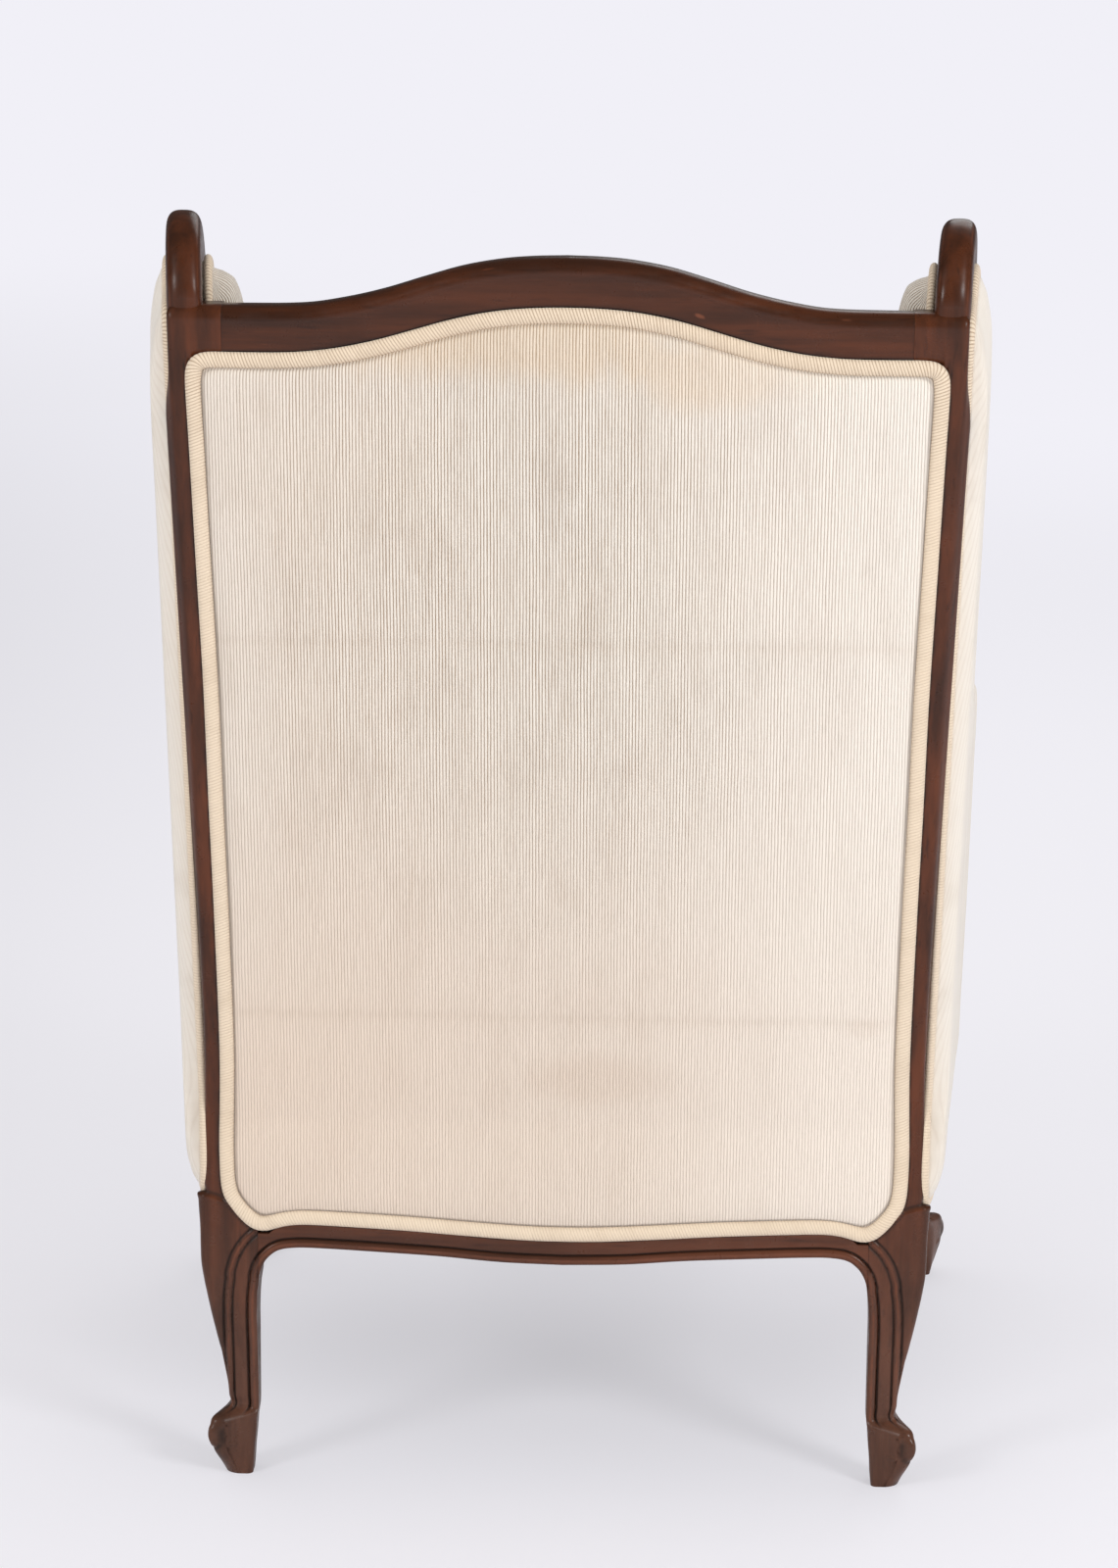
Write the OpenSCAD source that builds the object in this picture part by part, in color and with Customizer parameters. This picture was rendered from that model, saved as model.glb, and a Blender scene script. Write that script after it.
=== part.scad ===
// Bergere wing armchair: a carved show-wood frame with closed, padded sides and a loose seat cushion.
// X runs across the chair, the front faces -Y, and Z is up from the floor.
// The left half is modelled at +X, and the right half is its mirror image.

/* [Overall] */
// Height of the seat frame's top face
rail_top = 312; // [290:1:330]
// Height at which the back begins to lean
rake_h = 322; // [300:1:340]
// Height of the back's shoulders, where the crest rail meets the posts
shoulder_h = 1000; // [920:1:1080]
// How far the crest rail rises at its middle above the shoulders
crest_bow = 40; // [10:1:60]
// How far the wing rails rise above the shoulders
wing_rise = 68; // [45:1:90]
// Width across the blocks of the rear legs
back_w = 605; // [540:1:680]
// From the back of the rear legs to the front of the front legs
seat_depth = 610; // [560:1:680]
// How far the front seat rail bows forward of the legs
front_bow = 20; // [8:1:30]
// Height of the arm rails' middle line where they leave the posts
arm_h = 677; // [640:1:710]
// Backward lean of the back, in degrees
rake = 8.5; // [5:0.5:12]
// Turn of each side outwards to the front, in degrees
splay = 5.1; // [2:0.1:7]
// Lean of each side outwards to the top, in degrees
flare = 1.7; // [0.5:0.1:2.5]

/* [Frame wood] */
// Side of the square block at the top of each leg
leg_w = 49; // [44:1:54]
// Height of the step where the rear leg's block ends and the post begins
leg_h = 257; // [235:1:270]
// Width of the rear posts above the step
post_w = 36; // [32:1:42]
// Depth of the rear posts and the crest rail
post_d = 36; // [30:1:42]
// Thickness of the seat rails
rail_t = 26; // [22:1:32]
// Height of the bottom edge of the rear seat rail at its middle
rail_bottom = 196.5; // [180:0.5:210]
// How far the seat rails' bottom edges rise towards their ends
rail_wave = 10.5; // [4:0.5:16]
// Height of the wood band that shows below the upholstery on a seat rail
rail_band = 20; // [16:1:30]
// Diameter of the bead carved along the seat rails and legs
bead_d = 7; // [5:0.5:9]
// Depth of the groove beside the bead
groove_d = 1.6; // [0.8:0.1:2.5]
// Thickness of the side frames, and width of the wing and arm rails
side_t = 28; // [24:1:32]
// How far the side frames lie inside the outer faces of the leg blocks
side_inset = 5; // [2:0.5:8]
// Height of the arm rails' section
arm_rail_h = 27; // [24:1:32]
// Depth of the wing rails' section, from the outer edge to the inner
wing_rail_d = 38; // [34:1:42]
// How far the outside and inside covers lap onto the wing rails
wing_lap = 3; // [1:0.5:6]
// Width of the hand rest at the end of each arm rail
hand_w = 44; // [36:1:50]
// Depth of the arm supports, front to back
support_d = 36; // [30:1:42]
// Height of the crest rail's wood above the back panel
crest_face = 36; // [30:1:44]
// Depth of the rebate that takes the upholstery in the back of the frame
rebate = 5; // [3:0.5:7]
// Width of the bare wood on each post beside the back welt
post_band = 12.5; // [9:0.5:16]
// Width of the bare wood on each post in front of its back corner
side_band = 15; // [10:1:20]
// Width of the hidden tacking rails
tack_rail_w = 34; // [26:1:40]
// Thickness of the hidden tacking rails
tack_rail_t = 18; // [14:1:22]
// Height of the hidden tacking rails' middle line above the seat frame
tack_rail_rise = 75; // [60:1:90]

/* [Joints] */
// Thickness of the tenons
tenon_t = 9; // [7:0.5:11]
// Length of the tenons on the rails
tenon_l = 22; // [16:1:24]
// Shank diameter of the corner block screws
screw_d = 5; // [4:0.5:6]
// Length of the corner block screws below their heads
screw_l = 48; // [40:1:52]
// Gap all round a tenon in its mortise and a screw in its hole
joint_gap = 0.15; // [0.1:0.05:0.3]
// Gap between soft parts and what they lie against
soft_gap = 0.3; // [0.2:0.1:0.5]

/* [Upholstery] */
// Width of the self-covered welts
welt_w = 13; // [10:0.5:15]
// Thickness of the welts
welt_t = 8; // [6:0.5:10]
// How far the outside back panel swells at its middle
back_swell = 9; // [4:1:16]
// How far the outside side panels stand out at their fullest
side_swell = 17; // [10:1:22]
// Thickness of the inside back pad at its fullest
back_pad_t = 62; // [44:1:70]
// Thickness of the inside wing and arm pads at their fullest
side_pad_t = 32; // [22:1:36]
// Thickness of the pads and panels at their edges
pad_edge_t = 6; // [4:0.5:9]
// Thickness of the arm rests' padding
arm_pad_t = 22; // [16:1:28]
// Thickness of a webbing strap
web_t = 1.6; // [1.2:0.1:2.4]
// Width of a webbing strap
web_w = 50; // [40:1:56]
// Thickness of the hessian
hessian_t = 0.8; // [0.6:0.1:1.2]
// Thickness of the seat deck's stuffing
deck_t = 12; // [8:1:18]

/* [Seat cushion] */
// Height of the cushion's border from the deck to the top of its upper welt
cushion_side_h = 96; // [80:1:110]
// How far the cushion's top swells above its border
cushion_crown = 26; // [14:1:34]
// How far the border is drawn in between its welts
cushion_draw = 5; // [2:1:8]
// Diameter of the cushion's welts
cushion_welt_d = 11; // [8:0.5:14]

/* [Hidden] */

wood = [0.30, 0.19, 0.13];
hidden_wood = [0.72, 0.58, 0.40];
fabric = [0.87, 0.83, 0.76];
jute = [0.66, 0.54, 0.36];
steel = [0.60, 0.60, 0.62];

// Places worked out from the sizes above: back_y is the back face of the rear seat rail
thumb = crest_face / 3;
crest_reach = (shoulder_h + crest_bow - thumb - rake_h) * tan(rake);
back_y = (seat_depth + front_bow - crest_reach) / 2;
half_back = back_w / 2;
crest_half = half_back - post_w;
panel_h = rail_top - leg_w * 1.3 - groove_d;
stack_h = rail_top + 2 * web_t + hessian_t + soft_gap;
deck_top = stack_h + deck_t;
back_base = post_d + 2 * web_t + hessian_t + soft_gap;
layer_gap = soft_gap / 10;
support_top = arm_h - arm_rail_h * 0.68;
block_reach = leg_w * 1.2;
block_z = rail_top - leg_w * 0.7;
block_depth = (block_reach - leg_w + rail_t) / sqrt(2) + joint_gap;

// Shapes of the legs: height share, taper of the two outer faces, taper of the two inner faces, and toe
rear_leg_shares = [[0, 0.42, 0.175, 0], [0.03, 0.38, 0.15, 0.06], [0.08, 0.375, 0.135, 0.215],
                   [0.12, 0.375, 0.11, 0.31], [0.155, 0.38, 0.095, 0.345], [0.185, 0.385, 0.085, 0.31],
                   [0.206, 0.39, 0.07, 0.20], [0.225, 0.42, 0.058, 0], [0.27, 0.42, 0.055, 0],
                   [0.32, 0.40, 0.055, 0], [0.40, 0.333, 0.055, 0], [0.48, 0.252, 0.055, 0],
                   [0.56, 0.17, 0.055, 0], [0.64, 0.096, 0.035, 0], [0.69, 0.054, 0, 0],
                   [0.75, 0.016, 0, 0], [0.86, 0.005, 0, 0], [0.945, 0.07, 0, 0], [1, 0.10, 0, 0]];
front_leg_shares = [[0, 0.42, 0.175, 0], [0.025, 0.38, 0.15, 0.08], [0.066, 0.375, 0.135, 0.235],
                    [0.099, 0.375, 0.11, 0.335], [0.128, 0.38, 0.095, 0.37], [0.152, 0.385, 0.085, 0.33],
                    [0.170, 0.39, 0.07, 0.21], [0.186, 0.42, 0.058, 0], [0.26, 0.40, 0.05, 0],
                    [0.34, 0.34, 0.05, 0], [0.42, 0.26, 0.045, 0], [0.50, 0.16, 0.02, 0],
                    [0.57, 0.08, 0, 0], [0.66, -0.01, 0, 0], [0.80, -0.05, 0, 0], [1, 0, 0, 0]];
// How the rear posts widen outwards above the step, as shares of height and of the posts' width
post_shares = [[0, -0.11], [0.18, -0.18], [0.32, -0.14], [0.46, -0.083], [0.59, -0.041], [0.72, 0.041],
               [0.85, 0.121], [0.92, 0.166], [1, 0.181]];
// Rise of the crest from its ends to its middle, by share of its half length
bow_shares = [[0, 1], [0.10, 0.98], [0.19, 0.925], [0.30, 0.79], [0.415, 0.565], [0.53, 0.325],
              [0.64, 0.15], [0.755, 0.03], [0.93, 0], [1.2, 0]];
// Wave of the seat rails' bottom edges, by share of their half length
wave_shares = [[0, 0], [0.2, 0.14], [0.4, 0.52], [0.6, 0.78], [0.8, 1], [0.88, 1], [0.935, 0.75],
               [0.97, 0.1], [0.99, -0.7], [1, -1.5]];
// Routes in the side frames: shares of the seat depth forward, of a height, and of the frame's thickness
wing_shares = [[-0.128, 0.914], [-0.098, 0.977], [-0.049, 1], [0.016, 0.967], [0.069, 0.874],
               [0.102, 0.742], [0.123, 0.57], [0.138, 0.384], [0.159, 0.199], [0.193, 0.066],
               [0.226, -0.013]];
arm_shares = [[0.115, 0.04, 0], [0.262, 0, 0], [0.41, -0.22, 0.17], [0.541, -0.52, 0.3],
              [0.631, -0.8, 0.35], [0.695, -1.33, 0.36], [0.718, -2.05, 0.36], [0.705, -2.65, 0.36],
              [0.685, -2.75, 0.36]];
support_shares = [[0.793, 0, 0], [0.798, 0.116, 0], [0.770, 0.316, 0.05], [0.711, 0.5475, 0.15],
                  [0.659, 0.7475, 0.25], [0.630, 0.9265, 0.33], [0.622, 1, 0.35]];

// Slope of a table at one of its points
function slope(t, i) =
    let (n = len(t) - 1, a = t[max(i - 1, 0)], b = t[min(i + 1, n)])
    (b[1] - a[1]) / (b[0] - a[0]);
// A smooth curve through the points of a table, read at x
function eased(t, x) =
    let (n = len(t) - 1,
         i = min([for (k = [0 : n - 1]) if (x <= t[k + 1][0] || k == n - 1) k]),
         h = t[i + 1][0] - t[i][0],
         s = (x - t[i][0]) / h,
         m0 = slope(t, i) * h,
         m1 = slope(t, i + 1) * h)
    t[i][1] * (2 * s ^ 3 - 3 * s ^ 2 + 1) + m0 * (s ^ 3 - 2 * s ^ 2 + s)
    + t[i + 1][1] * (3 * s ^ 2 - 2 * s ^ 3) + m1 * (s ^ 3 - s ^ 2);
// A smooth route through a list of points, read at t from 0 to 1
function along(p, t) =
    let (n = len(p) - 1, u = t * n, i = min(floor(u), n - 1), s = u - i,
         a = p[max(i - 1, 0)], b = p[i], c = p[i + 1], d = p[min(i + 2, n)])
    (2 * b + (c - a) * s + (2 * a - 5 * b + 4 * c - d) * s ^ 2 + (3 * b - a - 3 * c + d) * s ^ 3) / 2;
function heading(p, t, step = 0.01) =
    let (v = along(p, min(t + step, 1)) - along(p, max(t - step, 0)), q = [v[0], v[1]])
    q / norm(q);
function between(a, b, t) = a + (b - a) * t;
function mean(p) = [for (k = [0 : 2]) let (s = [for (q = p) q[k]]) s * [for (q = p) 1] / len(p)];
function backwards(p) = [for (i = [len(p) - 1 : -1 : 0]) p[i]];

// A closed outline moved inwards by d, where it runs anticlockwise
function inset(loop, d) =
    let (n = len(loop))
    [for (i = [0 : n - 1])
        let (v = loop[(i + 1) % n] - loop[(i + n - 1) % n]) loop[i] + [-v[1], v[0]] / norm(v) * d];

// The leaning back and the two splayed sides
function lean(z) = max(0, z - rake_h) * tan(rake);
function support_at(z) =
    eased([for (s = support_shares) [s[1], s[0]]], (z - rail_top) / (support_top - rail_top)) * seat_depth;
function on_back(x, z, out) = [x, back_y + lean(z) + out, z];
function side_x(a, z) = half_back - side_inset + a * tan(splay) + max(0, z - rake_h) * tan(flare);
function at_side(a, z, out) = [side_x(a, z) + out, back_y - a, z];
function crest_low(x) = shoulder_h - crest_face + crest_bow * 0.95 * eased(bow_shares, abs(x) / crest_half);
function crest_high(x) = shoulder_h + crest_bow * eased(bow_shares, abs(x) / crest_half);
function wave(x, half) = rail_bottom + rail_wave * eased(wave_shares, abs(x) / half);
// Top of the rear rail's wood band: at its ends it leaves the wave and follows the welt
function band_top(x, half) =
    rail_band + (abs(x) > half * 0.9 ? max(wave(x, half), rail_bottom + rail_wave / 4) : wave(x, half));
function post_edge(z) =
    half_back + post_w * eased(post_shares, (z - leg_h) / (shoulder_h - leg_h));
wing_route = concat([[post_d / 2 - lean(shoulder_h), shoulder_h, -side_t / 2]],
    [for (s = wing_shares)
        [s[0] * seat_depth, between(arm_h, shoulder_h + wing_rise - wing_rail_d / 2, s[1]), -side_t / 2]]);
arm_route = concat([[post_d - lean(arm_h), arm_h, -side_t / 2]],
    [for (s = arm_shares) [s[0] * seat_depth, arm_h + s[1] * arm_rail_h, side_t * (s[2] - 1 / 2)]]);
support_route = [for (s = support_shares)
    [s[0] * seat_depth, between(rail_top, support_top, s[1]), side_t * (s[2] - 1 / 2)]];

// A solid through rings of points, closed at each end by a fan from a hub
module skin(rings, hub_a, hub_b, turned = false) {
    n = len(rings[0]);
    m = len(rings);
    sides = [for (j = [0 : m - 2], i = [0 : n - 1]) let (q = (i + 1) % n, a = j * n, b = (j + 1) * n)
        each [[a + i, b + i, b + q], [a + i, b + q, a + q]]];
    ends = [for (i = [0 : n - 1]) let (q = (i + 1) % n, b = (m - 1) * n)
        each [[m * n, i, q], [m * n + 1, b + q, b + i]]];
    faces = concat(sides, ends);
    polyhedron([for (r = rings) each r, hub_a, hub_b],
               turned ? [for (f = faces) [f[0], f[2], f[1]]] : faces, convexity = 8);
}
module loft(rings, turned = false) {
    skin(rings, mean(rings[0]), mean(rings[len(rings) - 1]), turned);
}
// Corners of a rail's section, between an ellipse and a rectangle
function oval(w, h, i, n, power) =
    let (c = cos(360 * (i + 0.5) / n), s = sin(360 * (i + 0.5) / n))
    [w / 2 * sign(c) * abs(c) ^ (2 / power), h / 2 * sign(s) * abs(s) ^ (2 / power)];
// A rail with that section along a route in a side frame, its first end trimmed to start_at
module side_rail_sweep(route, wide, high, steps, start_at, sides = 12, power = 3.2) {
    loft([for (j = [0 : steps])
        let (t = j / steps, p = along(route, t), v = heading(route, t))
        [for (i = [0 : sides - 1])
            let (q = oval(wide(t), high(t), i, sides, power), at = [p[0] - v[1] * q[1], p[1] + v[0] * q[1]],
                 f = j == 0 ? start_at(at) : at)
            at_side(f[0], f[1], p[2] + q[0])]]);
}
// A soft shape: an outline carried outwards in layers of scale and height, towards a hub.
// A root outline, where there is one, reaches back into the frame's opening by a depth.
module cushioned(loop, hub, layers, place, turned = false, root = [], depth = 0) {
    last = layers[len(layers) - 1];
    rings = concat(
        [for (d = root == [] ? [] : [-depth, 0]) [for (p = root) place(p[0], p[1], d)]],
        [for (l = layers) [for (p = loop) let (q = hub + (p - hub) * l[0]) place(q[0], q[1], l[1])]]);
    skin(rings, place(hub[0], hub[1], layers[0][1] - depth), place(hub[0], hub[1], last[1]), turned);
}
// A welt: a flattened cord laid along a line of points
module corded(line, wide, thick, place, sides = 8, looped = true, turned = false) {
    n = len(line);
    rings = [for (i = [0 : n - 1])
        let (a = line[looped ? (i + n - 1) % n : max(i - 1, 0)],
             b = line[looped ? (i + 1) % n : min(i + 1, n - 1)], v = (b - a) / norm(b - a))
        [for (k = [0 : sides - 1])
            let (c = cos(360 * (k + 0.5) / sides) * wide / 2, s = sin(360 * (k + 0.5) / sides) * thick / 2,
                 q = line[i] + [v[1], -v[0]] * c)
            place(q[0], q[1], s + thick / 2)]];
    if (looped) {
        faces = [for (j = [0 : n - 1], i = [0 : sides - 1])
            let (q = (i + 1) % sides, a = j * sides, b = ((j + 1) % n) * sides)
            each [[a + i, b + i, b + q], [a + i, b + q, a + q]]];
        polyhedron([for (r = rings) each r], turned ? [for (f = faces) [f[0], f[2], f[1]]] : faces,
                   convexity = 8);
    } else {
        loft(rings, turned);
    }
}
module mirrored() {
    mirror([1, 0, 0]) children();
}
// A tenon centred at a point; the mortise for it is the same box, larger by the joint gap all round
module peg(at, size, gap = 0) {
    translate(at) cube([for (s = size) s + 2 * gap], center = true);
}

// Section of a leg at one height, outwards and backwards from the block's outer corner
function leg_section(s) =
    let (x0 = -leg_w * (1 - s[2]), x1 = -leg_w * s[1], w = x1 - x0, r = w * 0.2, b = bead_d, g = groove_d,
         base = [[x0 + r, x0], [x1 - r, x0], [x1 - 0.3 * r, x0 + 0.3 * r], [x1, x0 + r], [x1, x1 - r],
                 [x1 - 0.3 * r, x1 - 0.3 * r], [x1 - r, x1], [x0 + b + 2 * g, x1], [x0 + b, x1 - g],
                 [x0 + 0.75 * b, x1], [x0 + 0.25 * b, x1 - 0.1 * b], [x0, x1 - 0.5 * b], [x0, x0 + r]])
    [for (p = base) let (k = max(0, (p[0] - x0 + p[1] - x0) / w - 1) ^ 1.5 * s[3] * leg_w) p + [k, k]];
// Section of a rear post, widened outwards by a share, with the rebate for the upholstery
function post_section(share) =
    let (x0 = -post_w, x1 = post_w * share, r = post_w * 0.14, e = x1 - post_band, f = -rebate)
    [[x0 + r, -post_d], [x1 - r, -post_d], [x1 - 0.3 * r, 0.3 * r - post_d], [x1, r - post_d], [x1, -r],
     [x1 - 0.3 * r, -0.3 * r], [x1 - r, 0], [e, 0], [e - groove_d / 4, f], [between(x0, e, 0.5), f],
     [x0 + r, f], [x0, f - r / 2], [x0, r - post_d]];

// Tenon boxes, each used for the tenon and, larger, for its mortise
module rear_rail_pegs(gap = 0) {
    h = (rail_top - rail_bottom) / 2;
    for (s = [-1, 1])
        peg([s * (half_back - leg_w + tenon_l / 4), back_y - rail_t * 0.55, rail_top - leg_w - h / 6],
            [tenon_l * 1.5, tenon_t, h * 0.7], gap);
}
module side_rail_pegs(gap = 0) {
    h = (rail_top - rail_bottom) / 2;
    for (a = [leg_w - tenon_l / 4, seat_depth - leg_w + tenon_l / 4])
        peg([side_x(a, rail_top) - rail_t * 0.5, back_y - a, rail_top - leg_w - h / 6],
            [tenon_t, tenon_l * 1.5, h * 0.5], gap);
}
module front_rail_pegs(gap = 0) {
    h = (rail_top - rail_bottom) / 2;
    for (s = [-1, 1])
        peg([s * (front_leg_x() - leg_w + tenon_l / 4), back_y - seat_depth + rail_t * 0.55, rail_top - h],
            [tenon_l * 1.5, tenon_t, h * 0.7], gap);
}
module crest_pegs(gap = 0) {
    z = shoulder_h - crest_face;
    for (s = [-1, 1])
        peg([s * crest_half, back_y + lean(z) - post_d / 2, z],
            [tenon_l * 1.4, tenon_t, crest_face * 0.5], gap);
}
module lower_rail_pegs(gap = 0) {
    z = rail_top + tack_rail_rise;
    for (s = [-1, 1])
        peg([s * crest_half, back_y + lean(z) - post_d + tack_rail_t / 2, z],
            [tenon_l, tenon_t, tack_rail_w * 0.6], gap);
}
module arm_rail_peg(gap = 0) {
    p = at_side(post_d - lean(arm_h), arm_h, -side_t / 2);
    peg(p, [tenon_t, tenon_l, arm_rail_h * 0.5], gap);
}
module wing_rail_peg(gap = 0) {
    p = wing_route[0];
    peg(at_side(p[0] - post_d * 0.08, p[1], p[2] + side_t * 0.14), [tenon_t, tenon_t * 1.3, tenon_l], gap);
}
module support_foot_peg(gap = 0) {
    p = support_route[0];
    peg(at_side(p[0], p[1], p[2]), [tenon_t, tenon_l, tenon_l], gap);
}
// Line of each corner screw: along the diagonal of the corner, through the block and into the leg
module corner_lines() {
    for (s = [-1, 1], c = [0, 1])
        translate([s * (corner_at(c)[0]), corner_at(c)[1], block_z])
            rotate([0, 0, c == 0 ? 90 - s * 45 : s * 45 - 90])
                rotate([0, 90, 0])
                    children();
}
// Clearance holes for those screws
module corner_holes() {
    start = 2 * block_reach;
    corner_lines() translate([0, 0, -start])
        cylinder(d = screw_d + 2 * joint_gap, h = start + screw_l - block_depth + joint_gap, $fn = 48);
}
function corner_at(c) =
    c == 0 ? [half_back - leg_w, back_y - leg_w] : [front_leg_x() - leg_w, back_y - seat_depth + leg_w];
function front_leg_x() = side_x(seat_depth, rail_top) + side_inset;

module left_rear_post() {
    leg = [for (s = rear_leg_shares)
        [for (p = leg_section(s)) [half_back + p[0], back_y + p[1], s[0] * leg_h]]];
    low = leg_h + bead_d / 2;
    top = [for (z = concat([low], [for (s = [0 : 1 / 14 : 1]) between(rake_h, shoulder_h, s)]))
        [for (p = post_section(eased(post_shares, (z - leg_h) / (shoulder_h - leg_h))))
            on_back(half_back + p[0], z, p[1])]];
    color(wood) difference() {
        loft(concat(leg, top));
        rear_rail_pegs(joint_gap);
        side_rail_pegs(joint_gap);
        crest_pegs(joint_gap);
        lower_rail_pegs(joint_gap);
        arm_rail_peg(joint_gap);
        wing_rail_peg(joint_gap);
        corner_holes();
        back_corner_cut();
    }
}
module left_front_leg() {
    rings = [for (s = front_leg_shares)
        [for (p = leg_section(s)) [front_leg_x() + p[0], p[1], s[0] * rail_top]]];
    color(wood) difference() {
        translate([0, back_y - seat_depth, 0]) mirror([0, 1, 0]) loft(rings);
        side_rail_pegs(joint_gap);
        front_rail_pegs(joint_gap);
        corner_holes();
    }
}

// Section of a seat rail, outwards and up: bead, groove, band, and a rebate for the upholstery
function rail_section(low, band, high, inner, cut) =
    [[-inner, low], [-bead_d * 0.6, low], [-bead_d * 0.1, low + bead_d * 0.2], [0, low + bead_d * 0.6],
     [-groove_d, low + bead_d], [0, low + bead_d + groove_d], [0, band], [-cut, band + groove_d / 4],
     [-cut, high], [-inner, high]];
module rear_seat_rail() {
    half = half_back - leg_w;
    steps = 26;
    color(wood) union() {
        loft([for (i = [0 : steps])
            let (x = -half * cos(180 * i / steps), low = wave(x, half))
            [for (p = rail_section(low, band_top(x, half), rail_top, rail_t, rebate))
                [x, back_y + p[0], p[1]]]]);
        rear_rail_pegs();
    }
}
module left_side_rail() {
    a0 = leg_w;
    a1 = seat_depth - leg_w;
    steps = 12;
    color(wood) difference() {
        union() {
            loft([for (i = [0 : steps])
                let (half = (a1 - a0) / 2, x = -half * cos(180 * i / steps), a = a0 + half + x,
                     low = wave(x, half) + bead_d)
                [for (p = rail_section(low, panel_h - groove_d, rail_top, rail_t, groove_d))
                    at_side(a, p[1], p[0])]]);
            side_rail_pegs();
        }
        support_foot_peg(joint_gap);
    }
}
module front_seat_rail() {
    half = front_leg_x() - leg_w;
    steps = 26;
    color(wood) union() {
        loft([for (i = [0 : steps])
            let (x = half * cos(180 * i / steps), low = wave(x, half))
            [for (p = rail_section(low, rail_top - rail_band, rail_top, rail_t, groove_d))
                [x, back_y - seat_depth - bow_at(x) - p[0], p[1]]]]);
        front_rail_pegs();
    }
}
module crest_rail() {
    steps = 26;
    color(wood) union() {
        loft([for (i = [0 : steps])
            let (x = crest_half * (2 * i / steps - 1), lo = crest_low(x), hi = crest_high(x), t = thumb,
                 d = post_d, e = lo - crest_face / 2)
            [for (p = [[-d, e], [-rebate, e], [-rebate, lo], [0, lo + groove_d / 4], [0, hi - t],
                       [-t * 0.1, hi - t * 0.45], [-t * 0.5, hi - t * 0.1], [-t * 1.1, hi], [t - d, hi],
                       [t * 0.4 - d, hi - t * 0.2], [-d, hi - t * 0.7]])
                on_back(x, p[1], p[0])]]);
        crest_pegs();
    }
}
module arm_rail_solid() {
    side_rail_sweep(arm_route,
        function (t) between(side_t, hand_w, min(1, max(0, (t - 0.18) / 0.37) ^ 2))
                     * (1 - 0.45 * (max(0, t - 0.7) / 0.3) ^ 2),
        function (t) arm_rail_h * (1 - 0.5 * max(0, t - 0.62) / 0.38),
        26, function (p) [post_d - lean(p[1]), p[1]]);
}
module left_arm_rail() {
    color(wood) union() {
        arm_rail_solid();
        arm_rail_peg();
    }
}
// A box below a place in a side frame, for cutting off what lies under it
module at_side_box(place, size) {
    translate(at_side(place[0], arm_h - size, -side_t / 2))
        cube([2 * side_t, 3 * size, 2 * size], center = true);
}
module left_wing_rail() {
    color(wood) union() {
        difference() {
            side_rail_sweep(wing_route, function (t) side_t,
                function (t) between(wing_rail_d, arm_rail_h, t < 0.15 ? 1 - t / 0.15 : (t - 0.15) / 0.85),
                28, function (p) [p[0], shoulder_h]);
            arm_rail_solid();
            at_side_box(wing_route[len(wing_route) - 1], arm_rail_h);
        }
        wing_rail_peg();
    }
}
module support_solid() {
    side_rail_sweep(support_route, function (t) side_t * (1 - 0.1 * sin(180 * t)),
        function (t) support_d * (1 - 0.3 * sin(180 * t)), 14, function (p) [p[0], rail_top]);
}
module left_arm_support() {
    color(wood) union() {
        difference() {
            support_solid();
            arm_rail_solid();
        }
        support_foot_peg();
    }
}
module lower_back_rail() {
    z = rail_top + tack_rail_rise;
    h = tack_rail_w / 2;
    color(hidden_wood) union() {
        back_slab([-crest_half, crest_half], [z - h, z + h], [-post_d, tack_rail_t - post_d]);
        lower_rail_pegs();
    }
}
module left_tacking_rail() {
    z = rail_top + tack_rail_rise;
    h = tack_rail_w / 2;
    x = (side_t - tack_rail_t) / 2;
    color(hidden_wood) difference() {
        loft([for (f = [0, 1])
            [for (p = [[x - side_t, z - h], [-x, z - h], [-x, z + h], [x - side_t, z + h]])
                at_side(f == 0 ? post_d - lean(p[1]) : support_at(p[1]), p[1], p[0])]]);
        support_solid();
    }
}

// A flat slab that leans with the back: limits across, up, and out from its plane
module back_slab(across, up, out) {
    loft([for (z = up)
        [on_back(across[0], z, out[0]), on_back(across[1], z, out[0]),
         on_back(across[1], z, out[1]), on_back(across[0], z, out[1])]]);
}
// Curve of the back panel's bottom corners over the leg blocks, as shares of the block's width
back_corner_shares = [[-0.04, 0.05], [0.22, 0.215], [0.42, 0.43], [0.59, 0.68]];
// Outline of the back panel along the wood, anticlockwise from the middle of the bottom
function panel_side(z) = [post_edge(z) - post_band, z];
function back_half_loop() =
    let (low = rail_bottom + rail_band, x_top = post_edge(shoulder_h) - post_band - bead_d * 1.6,
         x_low = half_back - leg_w)
    concat(
        [for (s = [0.1, 0.3, 0.5, 0.7, 0.8, 0.87, 0.93]) [x_low * s, wave(x_low * s, x_low) + rail_band]],
        [for (s = back_corner_shares) [x_low + s[0] * leg_w, low + s[1] * leg_w]],
        [for (s = [0.035, 0.16, 0.32, 0.46, 0.59, 0.72, 0.85, 0.925])
            panel_side(between(leg_h, shoulder_h, s))],
        [for (k = [0.25 : 0.25 : 0.75])
            let (c = panel_side(shoulder_h - crest_face), r = 2 * bead_d)
            c + [-r * k ^ 2, -r * (1 - k) ^ 2]],
        [for (s = [1, 0.87, 0.75, 0.64, 0.53, 0.42, 0.32, 0.22, 0.13, 0.05])
            [x_top * s, crest_low(x_top * s)]]);
function whole_loop(half) = concat(half, [for (p = backwards(half)) [-p[0], p[1]]]);
function back_loop() = whole_loop(back_half_loop());
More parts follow.
